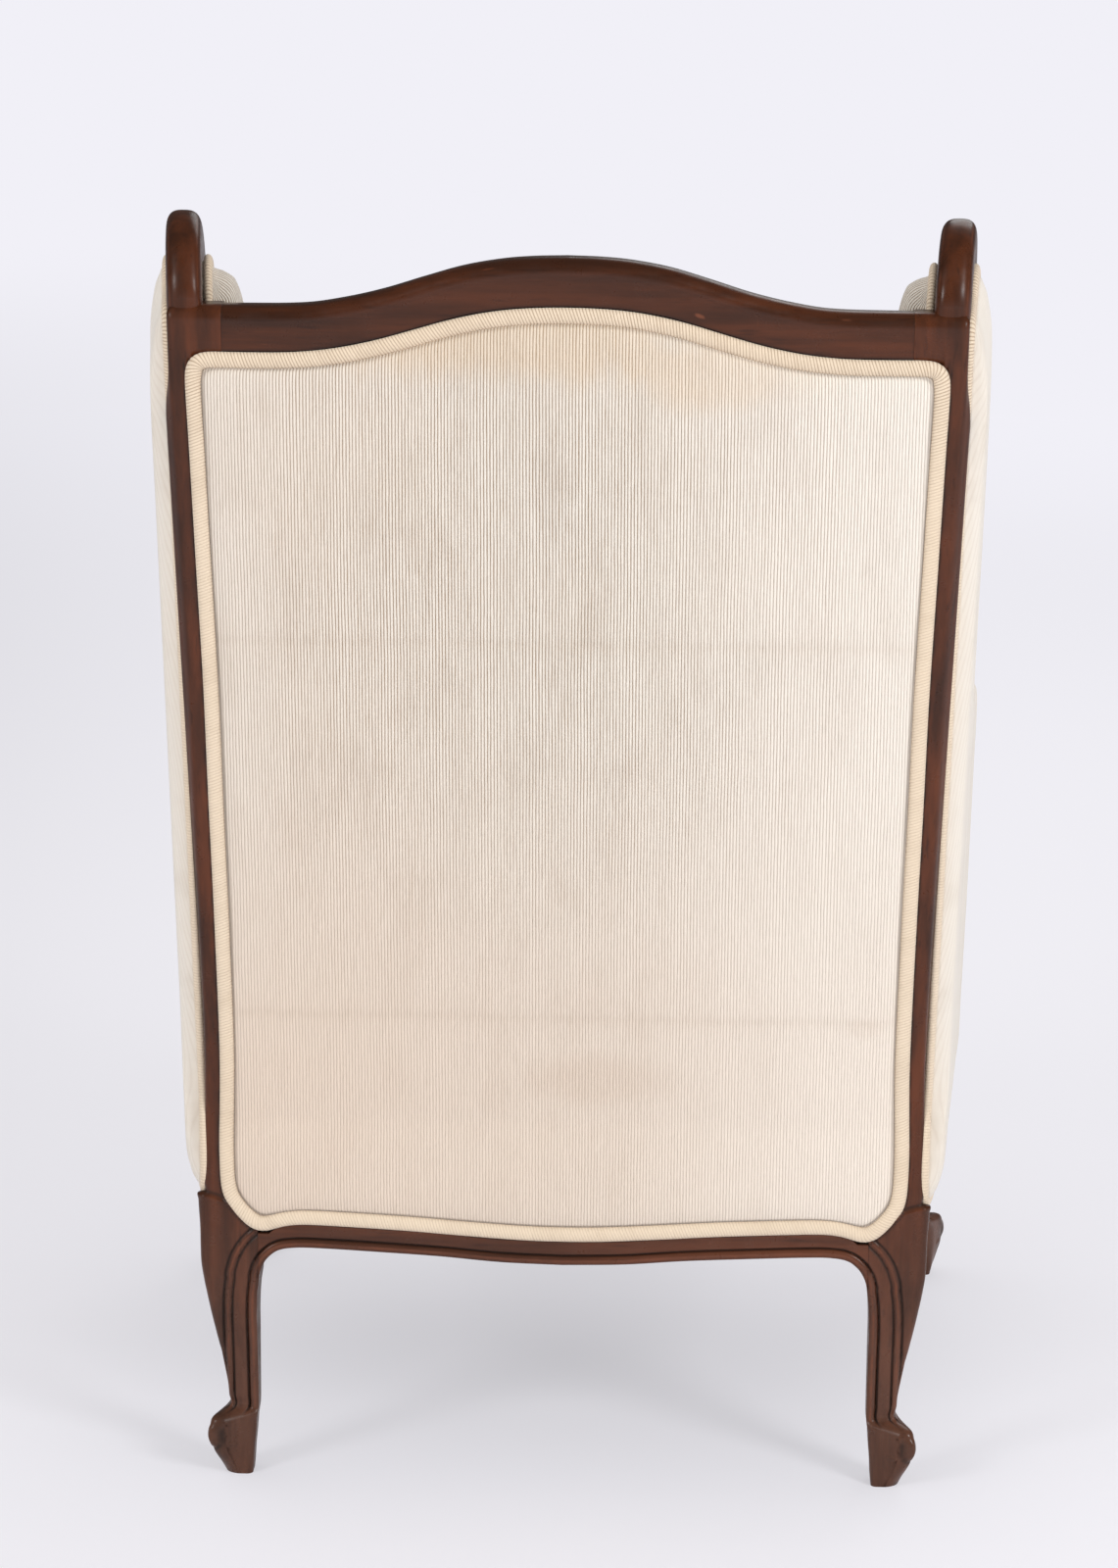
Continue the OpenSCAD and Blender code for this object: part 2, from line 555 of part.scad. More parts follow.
module back_corner_cut() {
    x_low = half_back - leg_w;
    low = rail_bottom + rail_band;
    up = leg_h + bead_d;
    translate([0, back_y + rebate, 0]) rotate([90, 0, 0])
        linear_extrude(2 * rebate)
            polygon(concat([[x_low - leg_w / 4, low], [x_low + back_corner_shares[0][0] * leg_w, low]],
                [for (s = back_corner_shares) [x_low + s[0] * leg_w, low + s[1] * leg_w]],
                [panel_side(up), [x_low - leg_w / 4, up]]));
}
function offset_route(route, ts, d) =
    [for (t = ts) let (p = along(route, t), v = heading(route, t)) [p[0], p[1]] + [-v[1], v[0]] * d];
wing_steps = [for (k = [9 : -1 : 1]) k / 11];
wing_cover = wing_rail_d / 2 - wing_lap;
arm_cover = arm_rail_h / 2 + 2 * soft_gap;
support_cover = support_d / 2 + 2 * soft_gap;
function wing_loop(edge) =
    let (low = arm_h + arm_cover + groove_d + edge * 0.3, high = shoulder_h,
         a = back_base + pad_edge_t * 0.8 + edge * 0.1)
    concat([for (s = [0, 0.35, 0.7])
               [between(a - lean(low), wing_route[10][0] - wing_cover - edge, s), low]],
           offset_route(wing_route, wing_steps, -wing_cover - edge),
           [[a - lean(high - welt_w), high - welt_w]],
           [for (s = [0.75, 0.5, 0.25]) let (z = between(low, high, s)) [a - lean(z), z]]);
function arm_loop() =
    let (low = deck_top + 2 * soft_gap, a = back_base + 2 * soft_gap, high = arm_h - arm_cover - groove_d)
    concat([for (s = [0, 0.3, 0.6, 0.9]) [between(a, support_route[0][0] - support_cover, s), low]],
           offset_route(support_route, [0.12, 0.22, 0.33, 0.5, 0.66, 0.8], support_cover),
           offset_route(arm_route, [0.42, 0.32, 0.21, 0.1], -arm_cover), [for (s = [1, 0.66, 0.33])
               let (z = between(low, high, s)) [a - lean(z), z]]);
function side_loop() =
    let (low = panel_h + groove_d, high = shoulder_h, a = side_band)
    concat([for (s = [0, 0.25, 0.5, 0.75, 1])
               [between(a, support_route[0][0] - support_cover * 1.4, s), low]],
           [[support_route[0][0] - support_cover, between(low, rail_top, 0.5)]],
           offset_route(support_route, [0.01, 0.17, 0.33, 0.5, 0.66, 0.82], support_cover),
           offset_route(arm_route, [0.44, 0.33, 0.24], -arm_cover),
           offset_route(wing_route, concat([10 / 11], wing_steps), -wing_cover),
           [for (s = [0.99, 0.88, 0.75, 0.6, 0.45, 0.3, 0.15])
               let (z = between(low, high, s)) [a - lean(z), z]]);
// Where a flat outline goes: on the inside or outside of a side, behind or before the back, or level
inner_side = function (a, z, out) at_side(a, z, -side_t - soft_gap - out);
outer_side = function (a, z, out) at_side(a, z, soft_gap + out);
behind = function (x, z, out) on_back(x, z, out + soft_gap - rebate);
before = function (x, z, out) on_back(x, z, -back_base - out);
flat = function (x, a, out) [x, back_y - a, out];

module left_wing_pad() {
    t = side_pad_t;
    e = pad_edge_t;
    color(fabric) cushioned(wing_loop(welt_w * 0.75 + soft_gap),
        [seat_depth * 0.03, between(arm_h, shoulder_h, 0.5)],
        [[1, 0], [1, e], [0.95, t * 0.55], [0.86, t * 0.85], [0.7, t * 0.98], [0.4, t]], inner_side,
        root = wing_loop(wing_lap + soft_gap), depth = side_t * 0.35);
}
module left_wing_welt() {
    color(fabric) corded(offset_route(wing_route, concat([9.6 / 11], wing_steps, [0.7 / 11]),
        -welt_w * 0.375 - wing_cover), welt_w * 0.75, welt_t * 0.9,
        inner_side, 6, false, true);
}
module left_inside_arm_pad() {
    t = side_pad_t;
    e = pad_edge_t;
    color(fabric) cushioned(arm_loop(), [seat_depth * 0.36, between(deck_top, arm_h, 0.5)],
        [[1, 0], [1, e], [0.95, t * 0.55], [0.86, t * 0.85], [0.7, t * 0.98], [0.4, t]], inner_side);
}
module left_outside_panel() {
    t = side_swell;
    e = pad_edge_t;
    color(fabric) cushioned(inset(side_loop(), welt_w + soft_gap),
        [seat_depth * 0.1, between(panel_h, shoulder_h, 0.43)],
        [[1, 0], [1, e], [0.96, t * 0.7], [0.88, t * 0.93], [0.7, t], [0.35, t * 0.97]],
        outer_side, true);
}
module left_outside_welt() {
    color(fabric) corded(inset(side_loop(), welt_w / 2), welt_w, welt_t, outer_side, 6);
}
module left_arm_rest() {
    t0 = 0.25;
    t1 = 0.6;
    steps = 12;
    color(fabric) loft([for (j = [0 : steps])
        let (u = j / steps, t = between(t0, t1, u), p = along(arm_route, t), v = heading(arm_route, t),
             k = max(0.3, (1 - abs(2 * u - 1) ^ 5) ^ 0.5), h = arm_pad_t * k,
             w = between(side_t, hand_w, min(1, (t / 0.55) ^ 2)) * 0.46 * k)
        [for (q = [[w, 0], [w, h * 0.4], [w * 0.8, h * 0.78], [w * 0.4, h], [-w * 0.4, h],
                   [-w * 0.8, h * 0.78], [-w, h * 0.4], [-w, 0]])
            let (r = arm_rail_h / 2 + soft_gap + q[1])
            at_side(p[0] - v[1] * r, p[1] + v[0] * r, p[2] + q[0])]]);
}
module inside_back_pad() {
    w = crest_half - pad_edge_t / 3;
    w0 = crest_half - pad_edge_t * 1.5;
    low = deck_top + 2 * soft_gap;
    high = shoulder_h - crest_face;
    r = side_pad_t;
    t = back_pad_t;
    half = concat([for (s = [0.1, 0.35, 0.6, 0.8]) [w0 * s, low]],
        [for (k = [0, 0.5, 1]) [w0 - r * (1 - k) ^ 2, low + r * k ^ 2]],
        [for (s = [0.2, 0.4, 0.6, 0.8, 0.9]) [between(w0, w, min(1, 2 * s)), between(low, high, s)]],
        [for (k = [0, 0.5, 1]) [w - r * k ^ 2, high - welt_w - r * (1 - k) ^ 2]],
        [for (s = [0.8, 0.65, 0.5, 0.35, 0.2, 0.07]) [w * s, crest_low(w * s) - welt_w]]);
    color(fabric) cushioned(whole_loop(half), [0, between(low, shoulder_h, 0.46)],
        [[1, 0], [1, pad_edge_t * 0.7], [0.955, t * 0.15], [0.935, t * 0.45], [0.89, t * 0.7],
         [0.8, t * 0.88], [0.6, t * 0.97], [0.3, t]], before);
}
module inside_back_welt() {
    w = crest_half - side_pad_t;
    color(fabric) corded([for (s = [1 : -0.1 : -1.01]) [w * s, crest_low(w * s) - welt_w * 0.45]],
        welt_w * 0.75, welt_t * 0.9, function (x, z, o) on_back(x, z, -post_d - soft_gap - o), 6, false,
        true);
}
module outside_back_panel() {
    t = back_swell;
    color(fabric) cushioned(inset(back_loop(), welt_w + 2 * soft_gap),
        [0, between(rail_bottom, shoulder_h, 0.5)],
        [[1, 0], [1, rebate], [0.98, rebate + t * 0.45], [0.92, rebate + t * 0.75],
         [0.75, rebate + t * 0.95], [0.4, rebate + t]], behind, true);
}
module outside_back_welt() {
    color(fabric) corded(inset(back_loop(), welt_w / 2 + soft_gap), welt_w, welt_t,
        behind);
}

// Plan of the space inside the seat rails, notched round the legs
function inner_plan(g) =
    let (x0 = half_back - leg_w - g, x1 = front_leg_x() - leg_w - g, y0 = back_y - leg_w - g,
         y1 = back_y - seat_depth + leg_w + g)
    whole_loop(concat(
        [for (s = [0, 0.2, 0.4, 0.55, 0.7, 0.8, 0.9])
            let (x = x1 * s) [x, back_y - seat_depth - bow_at(x) + rail_t + g]],
        [[x1, back_y - seat_depth + rail_t + g], [x1, y1],
         [side_x(seat_depth - leg_w, rail_top) - rail_t - g, y1],
         [side_x(leg_w, rail_top) - rail_t - g, y0], [x0, y0], [x0, back_y - rail_t - g]]));
function bow_at(x) = front_bow * max(0, 1 - (x / (front_leg_x() - leg_w)) ^ 2) ^ 1.5;
// Plan of the seat deck, as places across and forward
function deck_loop(g) =
    let (a0 = post_d + g, a1 = seat_depth - leg_w / 4)
    whole_loop(concat(
        [for (s = [0.15, 0.5, 0.85]) [side_x(a0, rail_top) * s, a0]],
        [for (a = [a0, between(a0, a1, 0.5), a1]) [side_x(a, rail_top) - side_t - g, a]],
        [for (s = [0.8, 0.6, 0.4, 0.2, 0.07])
            let (x = (side_x(a1, rail_top) - side_t) * s) [x, a1 + bow_at(x) - g]]));
module corner_blocks() {
    color(hidden_wood) difference() {
        for (s = [-1, 1], c = [0, 1])
            let (p = corner_at(c), k = c == 0 ? 1 : -1, g = joint_gap, d = leg_w - rail_t, r = block_reach,
                 a = c == 0 ? leg_w + r : seat_depth - leg_w - r, x = side_x(a, rail_top) - rail_t - g,
                 x2 = side_x(c == 0 ? leg_w : seat_depth - leg_w - r * 1.2, rail_top) - rail_t - g,
                 e = min(x, x2), y0 = p[1] + k * (d - g), y1 = p[1] - k * g)
                translate([0, 0, block_z - leg_w * 0.36])
                    linear_extrude(leg_w * 0.72)
                        polygon([for (q = [[p[0] - r, y0], [p[0] - g, y0], [p[0] - g, y1], [e, y1],
                                           [e, p[1] + k * (d - r + p[0] - e)]]) [s * q[0], q[1]]]);
        corner_holes();
    }
}
module corner_screws() {
    color(steel) corner_lines() translate([0, 0, -block_depth]) {
        cylinder(d = screw_d, h = screw_l, $fn = 32);
        translate([0, 0, -screw_d * 0.6]) cylinder(d = screw_d * 2, h = screw_d * 0.6, $fn = 32);
    }
}
module seat_webbing_long() {
    color(jute) for (s = [-0.72, -0.36, 0, 0.36, 0.72])
        let (x = s * half_back, y0 = back_y - seat_depth - bow_at(abs(x) + web_w / 2) + rail_t * 0.3,
             y1 = back_y - rail_t * 0.3)
            translate([x - web_w / 2, y0, rail_top]) cube([web_w, y1 - y0, web_t]);
}
module seat_webbing_cross() {
    color(jute) for (s = [0.13, 0.26, 0.39, 0.52, 0.65, 0.88])
        let (a = s * seat_depth, x = side_x(a - web_w / 2, rail_top) - rail_t * 0.3)
            translate([-x, back_y - a - web_w / 2, rail_top + web_t]) cube([2 * x, web_w, web_t]);
}
module seat_hessian() {
    color(jute) translate([0, 0, rail_top + 2 * web_t]) linear_extrude(hessian_t)
        polygon([for (p = deck_loop(joint_gap)) [p[0], back_y - p[1]]]);
}
module seat_deck() {
    color(fabric) cushioned(deck_loop(soft_gap), [0, seat_depth / 2],
        [[1, stack_h], [1, stack_h + deck_t * 0.7], [0.98, stack_h + deck_t]], flat, true);
}
module dust_cover() {
    color(jute) translate([0, 0, rail_bottom + rail_wave + bead_d + rail_band]) linear_extrude(hessian_t)
        polygon(inner_plan(soft_gap));
}
module back_webbing() {
    z0 = rail_top + tack_rail_rise - tack_rail_w * 0.4;
    z1 = shoulder_h - crest_face - welt_w;
    x1 = crest_half + post_w * 0.25;
    a = -post_d - layer_gap;
    b = a - web_t - layer_gap;
    color(jute) {
        for (s = [-0.6, -0.2, 0.2, 0.6])
            back_slab([s * crest_half - web_w / 2, s * crest_half + web_w / 2],
                [z0, crest_low(abs(s) * crest_half + web_w / 2) - welt_w], [a - web_t, a]);
        for (s = [0.13, 0.33, 0.66, 0.87])
            let (z = between(z0, z1, s))
                back_slab([-x1, x1], [z - web_w / 2, z + web_w / 2], [b - web_t, b]);
    }
}
module back_hessian() {
    z0 = rail_top + tack_rail_rise - tack_rail_w * 0.4;
    a = -post_d - 2 * web_t - 3 * layer_gap;
    steps = 12;
    color(jute) loft([for (i = [0 : steps])
        let (x = crest_half * (2 * i / steps - 1), z1 = crest_low(x) - welt_w)
        [for (p = [[a - hessian_t, z0], [a, z0], [a, z1], [a - hessian_t, z1]]) on_back(x, p[1], p[0])]]);
}

// Plan of the cushion, across and forward: it widens in front of the arm supports
function cushion_loop() =
    let (a0 = back_base + back_pad_t - lean(deck_top + cushion_side_h / 2) + cushion_welt_d,
         a1 = support_route[0][0] + support_d * 0.55 + cushion_welt_d, a2 = seat_depth - cushion_welt_d,
         g = side_t + side_pad_t + cushion_welt_d / 2, x0 = side_x(a0, rail_top) - g,
         x1 = side_x(a1, rail_top) - g,
         x2 = side_x(a2, rail_top) - side_t, r = leg_w / 2)
    whole_loop(concat([for (s = [0.2, 0.5, 0.8]) [x0 * s, a0]],
        rounded_run([[0, a0], [x0, a0], [x1, a1 - r / 2], [x1 + r / 3, a1], [x2, a1], [x2, a2], [0, a2]],
            [r, r / 3, r / 3, r * 0.5, r * 1.2]),
        [for (s = [0.8, 0.6, 0.4, 0.2, 0.07]) [x2 * s, a2 + bow_at(x2 * s) * 0.8]]));
function rounded_run(c, reach) =
    [for (i = [1 : len(c) - 2])
        let (a = (c[i - 1] - c[i]) / norm(c[i - 1] - c[i]), b = (c[i + 1] - c[i]) / norm(c[i + 1] - c[i]),
             r = reach[i - 1])
        for (s = [0, 0.33, 0.67, 1]) c[i] + a * r * (1 - s) ^ 2 + b * r * s ^ 2];
module seat_cushion() {
    h = cushion_side_h;
    d = cushion_welt_d;
    k = d / (2 * half_back);
    z = deck_top + soft_gap;
    q = cushion_draw / half_back;
    color(fabric) cushioned(cushion_loop(), [0, seat_depth * 0.55],
        [[0.985, z], [1 + k * 0.6, z + d * 0.25], [1 + k * 0.6, z + d * 0.75], [1 - k, z + d],
         [1 - k - q, z + h / 2], [1 - k, z + h - d], [1 + k * 0.6, z + h - d * 0.75],
         [1 + k * 0.6, z + h - d * 0.25], [1 - k, z + h], [0.94, z + h + cushion_crown * 0.22],
         [0.84, z + h + cushion_crown * 0.55], [0.68, z + h + cushion_crown * 0.8],
         [0.45, z + h + cushion_crown * 0.95], [0.2, z + h + cushion_crown]],
        flat, true);
}

module right_rear_post() {
    mirrored() left_rear_post();
}
module right_side_rail() {
    mirrored() left_side_rail();
}
module right_front_leg() {
    mirrored() left_front_leg();
}
module right_arm_support() {
    mirrored() left_arm_support();
}
module right_arm_rail() {
    mirrored() left_arm_rail();
}
module right_wing_rail() {
    mirrored() left_wing_rail();
}
module right_tacking_rail() {
    mirrored() left_tacking_rail();
}
module right_wing_pad() {
    mirrored() left_wing_pad();
}
module right_wing_welt() {
    mirrored() left_wing_welt();
}
module right_inside_arm_pad() {
    mirrored() left_inside_arm_pad();
}
module right_outside_panel() {
    mirrored() left_outside_panel();
}
module right_outside_welt() {
    mirrored() left_outside_welt();
}
module right_arm_rest() {
    mirrored() left_arm_rest();
}

left_rear_post();
right_rear_post();
crest_rail();
rear_seat_rail();
left_side_rail();
right_side_rail();
front_seat_rail();
left_front_leg();
right_front_leg();
left_arm_support();
right_arm_support();
left_arm_rail();
right_arm_rail();
left_wing_rail();
right_wing_rail();
lower_back_rail();
left_tacking_rail();
right_tacking_rail();
corner_blocks();
corner_screws();
seat_webbing_long();
seat_webbing_cross();
seat_hessian();
seat_deck();
dust_cover();
back_webbing();
back_hessian();
inside_back_pad();
inside_back_welt();
outside_back_panel();
outside_back_welt();
left_wing_pad();
right_wing_pad();
left_wing_welt();
right_wing_welt();
left_inside_arm_pad();
right_inside_arm_pad();
left_outside_panel();
right_outside_panel();
left_outside_welt();
right_outside_welt();
left_arm_rest();
right_arm_rest();
seat_cushion();
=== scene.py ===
"""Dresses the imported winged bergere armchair: carved walnut, ribbed ivory velvet and a loose cushion.

The shape functions work in millimetres in the frame of the part: X across, the front at -Y, Z up. They
repeat the sizes and routes of the CAD part, so each piece lies where its solid lies. A piece on the
sitter's left is worked out at +X, and its twin is the mirror image.
"""
import math
from itertools import count
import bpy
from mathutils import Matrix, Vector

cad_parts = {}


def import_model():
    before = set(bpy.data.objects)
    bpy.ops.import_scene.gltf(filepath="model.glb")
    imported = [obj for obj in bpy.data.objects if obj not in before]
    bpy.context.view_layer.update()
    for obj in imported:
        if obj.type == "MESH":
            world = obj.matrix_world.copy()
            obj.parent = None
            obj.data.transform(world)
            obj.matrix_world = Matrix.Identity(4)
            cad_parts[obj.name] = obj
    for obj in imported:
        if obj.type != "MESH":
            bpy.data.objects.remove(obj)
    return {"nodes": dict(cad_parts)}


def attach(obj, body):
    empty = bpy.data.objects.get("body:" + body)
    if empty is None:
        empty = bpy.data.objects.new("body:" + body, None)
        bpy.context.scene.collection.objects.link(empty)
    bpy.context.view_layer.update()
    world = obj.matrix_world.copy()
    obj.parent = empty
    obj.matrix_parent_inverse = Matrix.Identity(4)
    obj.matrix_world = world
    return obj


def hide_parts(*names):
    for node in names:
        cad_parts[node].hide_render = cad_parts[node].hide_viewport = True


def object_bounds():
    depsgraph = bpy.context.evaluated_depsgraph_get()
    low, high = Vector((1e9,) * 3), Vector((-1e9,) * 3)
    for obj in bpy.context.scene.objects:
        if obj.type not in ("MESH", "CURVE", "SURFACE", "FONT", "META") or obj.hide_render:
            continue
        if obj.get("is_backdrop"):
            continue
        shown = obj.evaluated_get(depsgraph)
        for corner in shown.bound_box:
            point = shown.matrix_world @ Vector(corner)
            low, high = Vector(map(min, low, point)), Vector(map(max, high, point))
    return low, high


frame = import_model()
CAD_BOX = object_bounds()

from types import SimpleNamespace

import bpy
import numpy as np
from bpy.props import FloatProperty, FloatVectorProperty, PointerProperty
from mathutils import Matrix, Vector

bl_info = {
    "name": "Bergere armchair",
    "version": (1, 0, 0),
    "blender": (4, 5, 0),
    "location": "3D View > Sidebar > Armchair",
    "description": "Carved show wood, ribbed velvet upholstery and a loose cushion around the packed frame",
    "category": "Object",
}

MM = 0.001
SIDES = (("left", 1), ("right", -1))

# Sizes of the part, in millimetres and degrees, named as in its source
P = SimpleNamespace(
    rail_top=312.0, rake_h=322.0, shoulder_h=1000.0, crest_bow=40.0, wing_rise=68.0, back_w=605.0,
    seat_depth=610.0, front_bow=20.0, arm_h=677.0, rake=8.5, splay=5.1, flare=1.7, leg_w=49.0,
    leg_h=257.0, post_w=36.0, post_d=36.0, rail_t=26.0, rail_bottom=196.5, rail_wave=10.5, rail_band=20.0,
    bead_d=7.0, groove_d=1.6, side_t=28.0, side_inset=5.0, arm_rail_h=27.0, wing_rail_d=38.0,
    wing_lap=3.0, hand_w=44.0, support_d=36.0, crest_face=36.0, rebate=5.0, post_band=12.5,
    side_band=15.0, tack_rail_w=34.0, tack_rail_rise=75.0, soft_gap=0.3, welt_w=13.0, welt_t=8.0,
    back_swell=9.0, side_swell=17.0, back_pad_t=62.0, side_pad_t=32.0, pad_edge_t=6.0, arm_pad_t=22.0,
    web_t=1.6, web_w=50.0, hessian_t=0.8, deck_t=12.0, cushion_side_h=96.0, cushion_crown=26.0,
    cushion_draw=5.0, cushion_welt_d=11.0)
RAKE, SPLAY, FLARE = (math.tan(math.radians(a)) for a in (P.rake, P.splay, P.flare))
P.thumb = P.crest_face / 3
P.back_y = (P.seat_depth + P.front_bow - (P.shoulder_h + P.crest_bow - P.thumb - P.rake_h) * RAKE) / 2
P.half_back = P.back_w / 2
P.crest_half = P.half_back - P.post_w
P.panel_h = P.rail_top - P.leg_w * 1.3 - P.groove_d
P.stack_h = P.rail_top + 2 * P.web_t + P.hessian_t + P.soft_gap
P.deck_top = P.stack_h + P.deck_t
P.back_base = P.post_d + 2 * P.web_t + P.hessian_t + P.soft_gap
P.support_top = P.arm_h - P.arm_rail_h * 0.68
P.lining_low = P.rail_top + P.tack_rail_rise - P.tack_rail_w * 0.4
P.lining_high = P.shoulder_h - P.crest_face - P.welt_w

# The velvet's ribs, and the stitched line in from the back cover's rim, darkened by painted shade
RIB_PITCH = 2.55
STITCH_IN, STITCH_WIDE = 3.0, 1.3
# How far the side covers reach back over the posts, so that no slit shows between them
SIDE_COVER_LAP = 6

# The camera, solved from the photograph: place in metres, turn in degrees, lens and sensor in millimetres
CAMERA = SimpleNamespace(at=(-0.1045, 3.5623, 1.3233), yaw=1.921, pitch=12.258, roll=0.50, lens=95.75,
                         sensor=36.0, reach=200)
# Lamps by name: place and size in metres, the setting that gives the power, and the share of it
LAMPS = {"key_lamp": ((-3.2, 3.4, 2.6), 1.5, "key", 1), "fill_lamp": ((3.2, 3.4, 2.4), 1.5, "fill", 1),
         "front_lamp": ((-1.0, -3.2, 2.8), 2.4, "key", 0.22)}
LAMPS_AIM = Vector((0, 0, 0.55))
AIR_COLOUR = (1.0, 0.99, 0.98, 1)

# Shapes of the legs by share of height: taper of the outer faces, taper of the inner faces, and toe
REAR_LEG_SHARES = np.array([
    [0, 0.36, 0.16, 0], [0.03, 0.345, 0.145, 0.06], [0.08, 0.36, 0.13, 0.215], [0.12, 0.37, 0.11, 0.31],
    [0.155, 0.38, 0.095, 0.345], [0.185, 0.385, 0.085, 0.31], [0.206, 0.39, 0.07, 0.20],
    [0.225, 0.42, 0.058, 0], [0.27, 0.42, 0.055, 0], [0.32, 0.40, 0.055, 0], [0.40, 0.333, 0.055, 0],
    [0.48, 0.252, 0.055, 0], [0.56, 0.17, 0.055, 0], [0.64, 0.096, 0.035, 0], [0.69, 0.054, 0, 0],
    [0.75, 0.016, 0, 0], [0.86, 0.005, 0, 0], [0.945, 0.07, 0, 0], [1, 0.10, 0, 0]])
FRONT_LEG_SHARES = np.array([
    [0, 0.36, 0.16, 0], [0.025, 0.345, 0.145, 0.08], [0.066, 0.36, 0.13, 0.235],
    [0.099, 0.37, 0.11, 0.335], [0.128, 0.38, 0.095, 0.37], [0.152, 0.385, 0.085, 0.33],
    [0.170, 0.39, 0.07, 0.21], [0.186, 0.42, 0.058, 0], [0.26, 0.40, 0.05, 0], [0.34, 0.34, 0.05, 0],
    [0.42, 0.26, 0.045, 0], [0.50, 0.16, 0.02, 0], [0.57, 0.11, 0, 0], [0.66, 0.07, 0, 0],
    [0.80, 0.05, 0, 0], [1, 0.06, 0, 0]])
# Widening of the rear posts above the knee, rise of the crest, and wave of the seat rails' bottom edges
POST_SHARES = [
    [0, -0.11], [0.18, -0.18], [0.32, -0.14], [0.46, -0.083], [0.59, -0.041], [0.72, 0.041],
    [0.85, 0.121], [0.92, 0.166], [1, 0.181]]
BOW_SHARES = [
    [0, 1], [0.10, 0.98], [0.19, 0.925], [0.30, 0.79], [0.415, 0.565], [0.53, 0.325], [0.64, 0.15],
    [0.755, 0.03], [0.93, 0], [1.2, 0]]
WAVE_SHARES = [
    [0, 0], [0.2, 0.14], [0.4, 0.52], [0.6, 0.78], [0.8, 1], [0.88, 1], [0.935, 0.75], [0.97, 0.1],
    [0.99, -0.7], [1, -1.5]]
# Routes in the side frames: shares of the seat depth forward, of a height, and of the frame's thickness
WING_SHARES = [
    [-0.128, 0.914], [-0.098, 0.977], [-0.049, 1], [0.016, 0.967], [0.069, 0.874], [0.102, 0.742],
    [0.123, 0.57], [0.138, 0.384], [0.159, 0.199], [0.193, 0.066], [0.226, -0.013]]
ARM_SHARES = [
    [0.115, 0.04, 0], [0.262, 0, 0], [0.41, -0.22, 0.02], [0.541, -0.52, 0.04], [0.631, -0.8, 0.05],
    [0.695, -1.33, 0.05], [0.718, -2.05, 0.05], [0.705, -2.65, 0.05], [0.685, -2.75, 0.05]]
SUPPORT_SHARES = [
    [0.793, 0, 0], [0.798, 0.116, 0], [0.770, 0.316, 0], [0.711, 0.5475, 0.01], [0.659, 0.7475, 0.03],
    [0.630, 0.9265, 0.05], [0.622, 1, 0.05]]
# Curve of the back panel's bottom corners over the leg blocks, as shares of the block's width
CORNER_SHARES = [[-0.04, 0.05], [0.22, 0.215], [0.42, 0.43], [0.59, 0.68]]


# Curves and places

def between(a, b, t):
    """The value a share t of the way from a to b."""
    return a + (b - a) * t


def smooth(low, high, x):
    """0 below low, 1 above high, and a cubic S between them."""
    t = np.clip((x - low) / (high - low), 0, 1)
    return t * t * (3 - 2 * t)


def eased(table, x):
    """Cubic Hermite curve through a table's points, with slopes from each point's neighbours, read at x."""
    t, x = np.asarray(table, float), np.asarray(x, float)
    n = len(t) - 1
    i = np.clip(np.searchsorted(t[1:, 0], x, side="left"), 0, n - 1)
    k = np.arange(n + 1)
    lo, hi = np.maximum(k - 1, 0), np.minimum(k + 1, n)
    m = (t[hi, 1] - t[lo, 1]) / (t[hi, 0] - t[lo, 0])
    h = t[i + 1, 0] - t[i, 0]
    s = (x - t[i, 0]) / h
    return (t[i, 1] * (2 * s**3 - 3 * s**2 + 1) + m[i] * h * (s**3 - 2 * s**2 + s)
            + t[i + 1, 1] * (3 * s**2 - 2 * s**3) + m[i + 1] * h * (s**3 - s**2))


def along(points, t):
    """Uniform Catmull-Rom curve through the points, read at t from 0 to 1."""
    p, t = np.asarray(points, float), np.asarray(t, float)
    n = len(p) - 1
    i = np.minimum((t * n).astype(int), n - 1)
    s = (t * n - i)[..., None]
    a, b, c, d = p[np.maximum(i - 1, 0)], p[i], p[i + 1], p[np.minimum(i + 2, n)]
    return (2 * b + (c - a) * s + (2 * a - 5 * b + 4 * c - d) * s**2 + (3 * b - a - 3 * c + d) * s**3) / 2


def heading(points, t, step=0.01):
    """Unit direction of that curve in its plane."""
    v = (along(points, np.minimum(t + step, 1)) - along(points, np.maximum(t - step, 0)))[..., :2]
    return v / np.linalg.norm(v, axis=-1, keepdims=True)


def even(points, count):
    """The same closed outline with points at equal steps of its length."""
    p = np.vstack([points, points[:1]])
    length = np.concatenate([[0], np.cumsum(np.linalg.norm(np.diff(p, axis=0), axis=1))])
    s = np.linspace(0, length[-1], count + 1)[:-1]
    return np.stack([np.interp(s, length, p[:, k]) for k in range(p.shape[1])], -1)


def rounded(line, passes):
    """The closed outline with each point moved to the average of itself, twice, and its neighbours."""
    for _ in range(passes):
        line = (np.roll(line, 1, 0) + line * 2 + np.roll(line, -1, 0)) / 4
    return line


